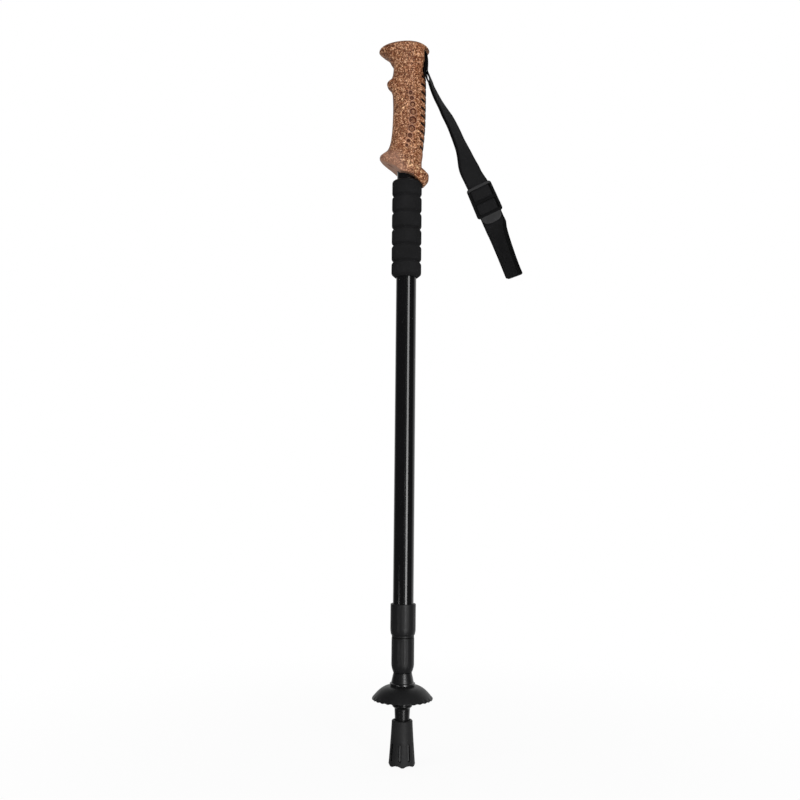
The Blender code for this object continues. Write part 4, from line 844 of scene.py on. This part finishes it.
def build_grip():
    """The cork grip: its skin with the marks pressed in, then the pocket cut out and the tints of painted
    shade, painted light, ink and golden flecks laid on.
    """
    depths = np.linspace(CROWN_HEIGHT, GRIP_LENGTH, GRIP_SAMPLES)
    shares = depths / GRIP_LENGTH
    radii = [UPPER_BORE_R + sampled(knots, shares) for knots in (GRIP_FRONT, GRIP_BACK, GRIP_SIDE)]
    square = sampled(BACK_SQUARENESS, np.clip(shares, BACK_SQUARENESS[0][0], 1))
    turns = [math.tau * index / GRIP_COLUMNS for index in range(GRIP_COLUMNS)]
    points = np.array([grip_column(turn, depths, *radii, square) for turn in turns]).transpose(1, 0, 2)
    press = grip_marks(points.reshape(-1, 3))[0].reshape(points.shape[:2])
    around = np.roll(points, -1, 1) - np.roll(points, 1, 1)
    inwards = np.cross(around, np.gradient(points, axis=0))
    inwards /= np.maximum(np.linalg.norm(inwards, axis=2, keepdims=True), 1e-12)
    points = points + inwards * press[..., None]
    shape = bmesh.new()
    rows = [[shape.verts.new(point) for point in row] for row in points]
    skin(shape, rows, "capped")
    piece = placed(shape, "upper_section", "cork", "grip_body", "cork_grip")
    cut = piece.modifiers.new("pocket", "BOOLEAN")
    cut.solver = "EXACT"
    cut.object = pocket_cutter()
    mesh = bpy.data.meshes.new_from_object(piece.evaluated_get(bpy.context.evaluated_depsgraph_get()))
    piece.modifiers.clear()
    piece.data = mesh
    places = np.zeros(len(mesh.vertices) * 3)
    mesh.vertices.foreach_get("co", places)
    for name, values in grip_marks(places.reshape(-1, 3))[1].items():
        mesh.attributes.new(name, "FLOAT", "POINT").data.foreach_set("value", values)
    mesh.shade_smooth()
    mesh.set_sharp_from_angle(angle=SHARP_ANGLE)
    mesh.materials.clear()
    mesh.materials.append(LOOKS["cork"])
    mesh.materials.append(LOOKS["cork_back"])
    for face in mesh.polygons:
        face.material_index = int(face.center.x > SHEEN_END_X)


# Foam sleeve


def build_foam():
    low, high = heights("foam_sleeve")
    outline = [(UPPER_BORE_R, high, 0.0002), (FOAM_R, high, FOAM_HEAD_DROP * 0.97)]
    for index in reversed(range(FOAM_GROOVES)):
        middle = low + FOAM_GROOVE_START + index * FOAM_GROOVE_PITCH
        outline += [(FOAM_R, middle + FOAM_GROOVE, 0.0012), (FOAM_R - FOAM_GROOVE, middle, 0.0003)]
        outline += [(FOAM_R, middle - FOAM_GROOVE, 0.0012)]
    outline += [(FOAM_R, low + 0.0028, 0.0014), (0.01, low, 0.0006), (UPPER_BORE_R, low, 0.0002)]
    shape = lathe(split_long(eased(outline, 5), 0.0035), 96)
    foam = placed(shape, "upper_section", "foam", "foam_sleeve", "foam_grip")
    foam.data.materials.append(LOOKS["gloss_plastic"])
    for face in foam.data.polygons:
        face.material_index = int(face.center.z > high - NECK_HEIGHT)


# Collars, tip holder, basket and rubber tip


def fluted(depth, low, high):
    """Round flutes between two heights on the outer side of a collar."""
    ease = 0.0012

    def change(turn, radius, height):
        share = smooth_step(low - ease, low + ease, height) - smooth_step(high - ease, high + ease, height)
        hollow = (1 - math.cos(COLLAR_FLUTES * turn)) / 2 * (radius > FLUTE_MIN_R)
        return radius - depth * share * hollow, height

    return change


def turned_collar(cad_node, body, outline, flutes):
    shape = lathe(split_long(eased(outline), 0.0009), 216, flutes)
    placed(shape, body, "matt_plastic", cad_node)


def build_collars():
    low, high = heights("upper_collar")
    stop = low + 0.0022
    outline = [
        (0.01094, high, 0.0006), (UPPER_COLLAR_R, low + 0.0057, 0.003), (0.0103, low + 0.0023, 0.0006),
        (0.00965, low + 0.0018, 0.0003), (0.00965, low, 0.0003), (MIDDLE_BORE_R, low, 0.0002),
        (MIDDLE_BORE_R, stop, 0.0001), (UPPER_BORE_R, stop, 0.0001), (UPPER_BORE_R, high, 0.0003),
    ]
    turned_collar("upper_collar", "upper_section", outline, fluted(0.00006, low + 0.0075, high - 0.0022))
    low, high = heights("middle_collar")
    stop = low + 0.0029
    outline = [
        (MIDDLE_COLLAR_R, high, 0.0005), (MIDDLE_COLLAR_R, low + 0.006, 0.004),
        (0.0091, low + 0.0028, 0.002), (SPIGOT_R, low, 0.0003), (LOWER_BORE_R, low, 0.0002),
        (LOWER_BORE_R, stop, 0.0001), (MIDDLE_BORE_R, stop, 0.0001), (MIDDLE_BORE_R, high, 0.0002),
    ]
    turned_collar("middle_collar", "middle_section", outline, fluted(0.0001, low + 0.0072, high - 0.0016))


def shaft_r(height):
    """The ferrule's shaft narrows towards its point."""
    return SHAFT_TOP_R - SHAFT_TAPER * (SHAFT_TOP_Z - height)


def build_tip_holder():
    """The ferrule: its socket, cone and flange, the basket's thread, and the tapering shaft."""
    cone_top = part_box("tip_holder")[1].z
    outline = [
        (0, SOCKET_FLOOR_Z, 0), (LOWER_BORE_R, SOCKET_FLOOR_Z, 0.0001), (LOWER_BORE_R, cone_top, 0.0001),
        (SPIGOT_R, cone_top, 0.0002), (MIDDLE_COLLAR_R, FLANGE_Z + 0.0019, 0.0004),
        (UPPER_COLLAR_R, FLANGE_Z + 0.0016, 0.0003), (UPPER_COLLAR_R, FLANGE_Z, 0.0003),
        (THREAD_ROOT_R, FLANGE_Z, 0.0001),
    ]
    for height in CRESTS:
        outline += [(THREAD_ROOT_R, height + THREAD_PITCH / 2, 0.0004), (THREAD_R, height, 0.0003)]
    point_bore_z = HOLDER_BOTTOM_Z + POINT_BORE_DEPTH
    outline += [
        (0.0085, SHAFT_TOP_Z + 0.001, 0.0005), (SHAFT_TOP_R + 0.0001, SHAFT_TOP_Z - 0.0006, 0.0005),
        (shaft_r(HOLDER_BOTTOM_Z), HOLDER_BOTTOM_Z, 0.0003), (POINT_BORE_R, HOLDER_BOTTOM_Z, 0.0001),
        (POINT_BORE_R, point_bore_z, 0.0001), (0, point_bore_z, 0),
    ]
    shape = lathe(eased(outline), 120)
    placed(shape, "lower_section", "gloss_plastic", "tip_holder")


def build_basket():
    """The mud basket: a ring on top, a thin dome with a wavy rim, and the threaded hub under it."""
    ring_top = FLANGE_Z - FIT_GAP
    dome_top = ring_top - 0.0004
    span = BASKET_R - BASKET_FLAT_R

    def dome(top, reach):
        return reach, top - BASKET_SAG * (max(0.0, reach - BASKET_FLAT_R) / span) ** 2

    inner_rim_r = BASKET_FLAT_R + span * math.sqrt(1 - BASKET_WALL / BASKET_SAG)
    outline = [(0.01045, ring_top, 0.0003)]
    outline += [(*dome(dome_top, BASKET_FLAT_R + span * step / 14), 0.0002) for step in range(14)]
    rim = 0.0006
    outline += [(*dome(dome_top, BASKET_R), 0.0003), (BASKET_R - rim, dome_top - BASKET_SAG - rim, 0.0003)]
    hub_r, bore = THREAD_R + FIT_GAP + 0.002, THREAD_ROOT_R + FIT_GAP
    reaches = np.linspace(inner_rim_r, hub_r, 13)
    outline += [(*dome(dome_top - BASKET_WALL, reach), 0.0002) for reach in reaches]
    hub_low = CRESTS[BASKET_TURNS - 1] - THREAD_PITCH / 2
    outline += [(hub_r, hub_low, 0.0008), (bore, hub_low, 0.0003)]
    for height in reversed(CRESTS[:BASKET_TURNS]):
        outline += [(THREAD_R + FIT_GAP, height, 0.0003), (bore, height + THREAD_PITCH / 2, 0.0003)]
    outline += [(THREAD_R + FIT_GAP, ring_top, 0.0003)]

    def wave(turn, radius, height):
        share = smooth_step(inner_rim_r - 0.0012, inner_rim_r + 0.0008, radius)
        return radius, height - share * RIM_WAVE * math.cos(RIM_WAVES * (turn - RIM_WAVE_TURN))

    shape = lathe(eased(outline, 3), 336, wave)
    placed(shape, "basket", "matt_plastic", "mud_basket")


def rubber_r(height):
    """The rubber tip narrows quickly above its foot, then more slowly."""
    high = RUBBER_HEIGHT - RUBBER_SHOULDER
    share = max(0.0, (high - height) / (high - RUBBER_EDGE))
    return RUBBER_TOP_R + (RUBBER_BASE_R - RUBBER_TOP_R) * share**RUBBER_TAPER_POWER


def build_rubber_tip():
    """The rubber tip, with its upright slots pressed in and a tread of lobes under it. Painted shade darkens
    the slots' walls, and a painted highlight lightens their floors.
    """
    heights = np.linspace(RUBBER_HEIGHT - RUBBER_EDGE, RUBBER_EDGE, RUBBER_ROWS + 1)
    outline = [(0, RUBBER_FLOOR), (shaft_r(HOLDER_BOTTOM_Z) + FIT_GAP, RUBBER_FLOOR)]
    outline += [(shaft_r(RUBBER_HEIGHT) + FIT_GAP, RUBBER_HEIGHT), (RUBBER_TOP_R - 0.0006, RUBBER_HEIGHT)]
    outline += [(rubber_r(height), height) for height in heights] + [(RUBBER_BASE_R - 0.0002, 0.0003)]
    outline += [(RUBBER_BASE_R - RUBBER_EDGE - 0.0008 * step, 0) for step in range(8)]
    outline += [(TREAD_SPAN[0], 0), (0, 0)]
    slot_low, slot_high = SLOT_LOW + SLOT_HALF, SLOT_HIGH - SLOT_HALF

    def carve(turn, radius, height):
        outside = radius >= rubber_r(height) - MERGE and height > RUBBER_EDGE
        nearest = round((turn - SLOT_TURN) / (math.tau / SLOT_COUNT))
        aside = (turn - SLOT_TURN - nearest * math.tau / SLOT_COUNT) * radius
        off = math.hypot(aside, height - min(max(height, slot_low), slot_high))
        if outside:
            radius -= SLOT_DEPTH * (1 - smooth_step(SLOT_HALF - SLOT_EASE, SLOT_HALF + 0.0001, off))
        lobe = abs(math.sin(TREAD_LOBES * (turn - TREAD_TURN) / 2))
        rise = TREAD_DEPTH * smooth_step(0.15, 1.0, lobe) * smooth_step(*TREAD_SPAN, radius)
        return radius, height + rise * (1 - smooth_step(0.0, TREAD_HEIGHT, height))

    mesh = placed(lathe(outline, 288, carve), "tip_cover", "rubber", "rubber_tip").data
    mesh.materials.append(LOOKS["rubber_painted_shade"])
    mesh.materials.append(LOOKS["rubber_painted_highlight"])
    # Faces in a slot get painted shade, and those at its floor a painted highlight
    for face in mesh.polygons:
        sunk = rubber_r(face.center.z) - math.hypot(face.center.x, face.center.y)
        if SLOT_LOW < face.center.z < SLOT_HIGH and SLOT_DEPTH * 0.2 < sunk < SLOT_DEPTH * 1.2:
            face.material_index = 2 if sunk > SLOT_DEPTH * 0.93 else 1


# Wrist strap


def strap_place(distance):
    """A point of the strap's middle line, with the directions across it and out of its face."""
    here, ahead = (
        Vector((smooth_value(ROUTE_X, place), 0, smooth_value(ROUTE_Z, place)))
        for place in (distance, distance + MERGE)
    )
    along = (ahead - here).normalized()
    turn = math.radians(smooth_value(STRAP_TWIST, distance))
    across = Matrix.Rotation(turn, 3, along) @ Vector((0, 1, 0))
    return here + Vector((PIN_X, 0, PIN_Z)), across, along.cross(across)


def steps_between(start, end, step=WEBBING_STEP):
    """Places from start up to but not at end, about a step apart."""
    count = max(1, round(abs(end - start) / step))
    return [start + (end - start) * index / count for index in range(count)]


def half_turn(centre, radius, aim):
    """Points round a fold of the webbing. It bulges along the strap if aim is 1, and back if it is -1."""
    turns = [math.pi * (index + 0.5) / FOLD_STEPS for index in range(FOLD_STEPS)]
    return [(centre[0] + aim * radius * math.sin(a), centre[1] + aim * radius * math.cos(a)) for a in turns]


def webbing_route():
    """The webbing's middle line, as distances along the strap and out of its face.

    It starts behind the buckle, folds at the strap's lower end, climbs to the pin, goes round it and comes
    down through the buckle to its tail.
    """
    layer = WEBBING_THICKNESS + LAYER_GAP
    clear = (BUCKLE_THICKNESS + WEBBING_THICKNESS) / 2 + FIT_GAP
    behind = BUCKLE_LIFT - clear
    near, far = BUCKLE_PLACE - BUCKLE_LENGTH / 2, BUCKLE_PLACE + BUCKLE_LENGTH / 2
    tab_end = far - BOTTOM_BAR + TAB_LENGTH
    settled = tab_end + WEBBING_EASE
    fold = STRAP_LENGTH - FOLD_RADIUS - WEBBING_THICKNESS / 2
    outer = list(LEG_SPREAD)
    outer += [(near - WEBBING_EASE, layer / 2), (near, behind), (near + TOP_BAR, behind)]
    outer += [(far - BOTTOM_BAR, behind), (tab_end, behind), (settled, layer), (fold, layer)]
    back = behind - 2 * layer
    inner = [(place, -spread) for place, spread in LEG_SPREAD]
    inner += [(near - 2 * WEBBING_EASE, -layer / 2), (near, back), (tab_end, back)]
    inner += [(settled, -layer), (fold - WEBBING_EASE, -layer), (fold, -layer / 2 - FOLD_RADIUS)]
    sewn = [(near, behind - layer), (tab_end, behind - layer), (settled, 0.0), (fold - WEBBING_EASE, 0.0)]
    sewn += [(fold, FOLD_RADIUS - layer / 2)]
    eased_in = near - WEBBING_EASE

    def run(knots, *spans):
        places = [place for span in spans for place in steps_between(*span)] + [spans[-1][1]]
        return [(place, smooth_value(knots, place)) for place in places]

    route = run(sewn, (BUCKLE_PLACE, fold)) + half_turn((fold, -layer / 2), FOLD_RADIUS, 1)
    route += run(inner, (fold, 0.0)) + half_turn((0.0, 0.0), LEG_SPREAD[0][1], -1)
    ways = (0.0, eased_in), (eased_in, far, WEBBING_STEP / 4), (far, STRAP_LENGTH - TAIL_SHORT)
    return route + run(outer, *ways)


def webbing_section(half):
    """Round the webbing: places across it and half its thickness there, on one face and back on the other."""
    face = []
    for place in np.linspace(half, -half, WEBBING_COLUMNS + 1):
        thin = smooth_step(0.9, 1.0, abs(place) / half)
        ridge = 0.06 * math.exp(-((abs(place) / half - 0.84) / 0.05) ** 2)
        face.append((place, WEBBING_THICKNESS / 2 * (1 - ridge - 0.45 * thin)))
    return face + [(place, -depth) for place, depth in reversed(face)]


def build_strap():
    """The webbing, swept along its route, with its pinch in the buckle and its slanted, bowed end."""
    middles, widths, halves, slants = [], [], [], []
    for distance, lift in webbing_route():
        here, across, out = strap_place(distance)
        middles.append(here + out * lift)
        widths.append(across)
        spot = min(max(distance, WEBBING_PINCH[0][0]), WEBBING_PINCH[-1][0])
        halves.append(WEBBING_HALF - smooth_value(WEBBING_PINCH, spot))
        slants.append(across.cross(out) * smooth_step(STRAP_LENGTH - TAIL_ZONE, STRAP_LENGTH, distance))
    runs = [0.0]
    for before, after in zip(middles, middles[1:]):
        runs.append(runs[-1] + (after - before).length)
    shape = bmesh.new()
    layer = shape.loops.layers.uv.new("metres")
    rows, spots = [], {}
    last = len(middles) - 1
    for index, middle in enumerate(middles):
        along = (middles[min(index + 1, last)] - middles[max(index - 1, 0)]).normalized()
        thick = along.cross(widths[index]).normalized()
        sealed = 0.5 if index in (0, last) else 1.0
        row = []
        for place, depth in webbing_section(halves[index]):
            share = place / WEBBING_HALF
            spot = middle + widths[index] * place + thick * depth * sealed
            spot += slants[index] * (TAIL_EXTRA + TAIL_SLANT * share)
            spot -= along * TAIL_BOW * share**2 * (index == last)
            vert = shape.verts.new(spot)
            spots[vert] = (place, runs[index])
            row.append(vert)
        rows.append(row)
    skin(shape, rows, "capped")
    for face in shape.faces:
        for loop in face.loops:
            loop[layer].uv = spots[loop.vert]
    strap = placed(shape, "strap", "webbing", "wrist_strap", "webbing_strap")
    strap.data.set_sharp_from_angle(angle=math.radians(60))


def rounded_box(half, low, high, corner):
    """An outline with round corners, from the right-hand top corner on."""
    outline = []
    for quarter in range(4):
        x = (half - corner) * (1 if quarter in (0, 3) else -1)
        y = high - corner if quarter in (0, 1) else low + corner
        turns = np.linspace(quarter, quarter + 1, CORNER_STEPS + 1) * math.pi / 2
        outline += [(x + corner * math.cos(a), y + corner * math.sin(a)) for a in turns]
    return outline


def build_buckle():
    """The ladder-lock buckle: a round-cornered frame, its middle bar and its tab, with eased edges. Its top
    bar and the tab beyond the bottom bar keep the grey plastic, and painted shade darkens the rails and the
    bottom and middle bars.
    """
    here, across, out = strap_place(BUCKLE_PLACE)
    along = across.cross(out)
    low, high = -BUCKLE_LENGTH / 2, BUCKLE_LENGTH / 2
    deep = BUCKLE_THICKNESS / 2
    shape = bmesh.new()

    def spot(x, y, z):
        narrow = 1 - BUCKLE_TAPER * (y - low) / BUCKLE_LENGTH
        return shape.verts.new(here + out * (BUCKLE_LIFT + z) + across * x * narrow - along * y)

    def slab(outline, depth, is_unshaded, hole=None):
        first = len(shape.faces)
        rows = [[spot(x, y, z) for x, y in outline] for z in (depth, -depth)]
        skin(shape, rows, "open" if hole else "capped")
        if hole:
            inner = [[spot(x, y, z) for x, y in hole] for z in (depth, -depth)]
            for pair in (inner, (rows[0], inner[0]), (rows[1], inner[1])):
                skin(shape, pair)
        shape.faces.ensure_lookup_table()
        for face in shape.faces[first:]:
            height = (here - face.calc_center_median()).dot(along)
            # Faces outside the grey parts get painted shade
            face.material_index = int(not is_unshaded(height))

    hole = rounded_box(BUCKLE_OPENING, low + BOTTOM_BAR, high - TOP_BAR, 0.0006)
    rim = rounded_box(BUCKLE_OPENING + BUCKLE_RAIL, low, high, BUCKLE_CORNER)
    slab(rim, deep, lambda height: height > high - TOP_BAR, hole)
    bar = rounded_box(BUCKLE_OPENING + BUCKLE_RAIL / 2, -MIDDLE_BAR / 2, MIDDLE_BAR / 2, 0.0008)
    slab(bar, deep * 0.9, lambda height: False)
    root = low + BOTTOM_BAR * 0.2
    power = 2 / TAB_SQUARENESS
    tab = []
    for turn in np.linspace(0, math.pi, TAB_STEPS + 1):
        aside = math.copysign(abs(math.cos(turn)) ** power, math.cos(turn))
        drop = (TAB_LENGTH - BOTTOM_BAR * 0.8) * math.sin(turn) ** power
        tab.append((TAB_WIDTH / 2 * aside, root - drop))
    slab(tab, deep * 0.95, lambda height: height < low + BOTTOM_BAR)
    buckle = placed(shape, "strap", "buckle_plastic", "strap_buckle", "buckle_frame")
    buckle.data.materials.append(LOOKS["painted_shade_plastic"])
    edges = buckle.modifiers.new("edges", "BEVEL")
    edges.width = 0.0004
    edges.segments = 3
    edges.limit_method = "ANGLE"
    edges.angle_limit = SHARP_ANGLE
    buckle.data.set_sharp_from_angle(angle=SHARP_ANGLE)


# Curves read often, worked out once
FOOT_PLACES = np.linspace(GRIP_FOOT[0][0], GRIP_FOOT[-1][0], FOOT_SAMPLES)
FOOT_SHARES = sampled(GRIP_FOOT, FOOT_PLACES)
runs = np.cumsum([0.0] + [math.dist(a, b) for a, b in zip(STRAP_ROUTE, STRAP_ROUTE[1:])]).tolist()
ROUTE_X, ROUTE_Z = ([(run, spot[axis]) for run, spot in zip(runs, STRAP_ROUTE)] for axis in (0, 1))

build_camera()
build_world()
build_floor()
for name, values in LAMPS.items():
    build_lamp(name, *values)
for part in frame["record"]["subparts"]:
    materials = frame["nodes"][part["node"]].data.materials
    materials.clear()
    materials.append(LOOKS[part["material_slot"]])
build_grip()
build_foam()
build_collars()
build_tip_holder()
build_basket()
build_rubber_tip()
build_buckle()
build_strap()
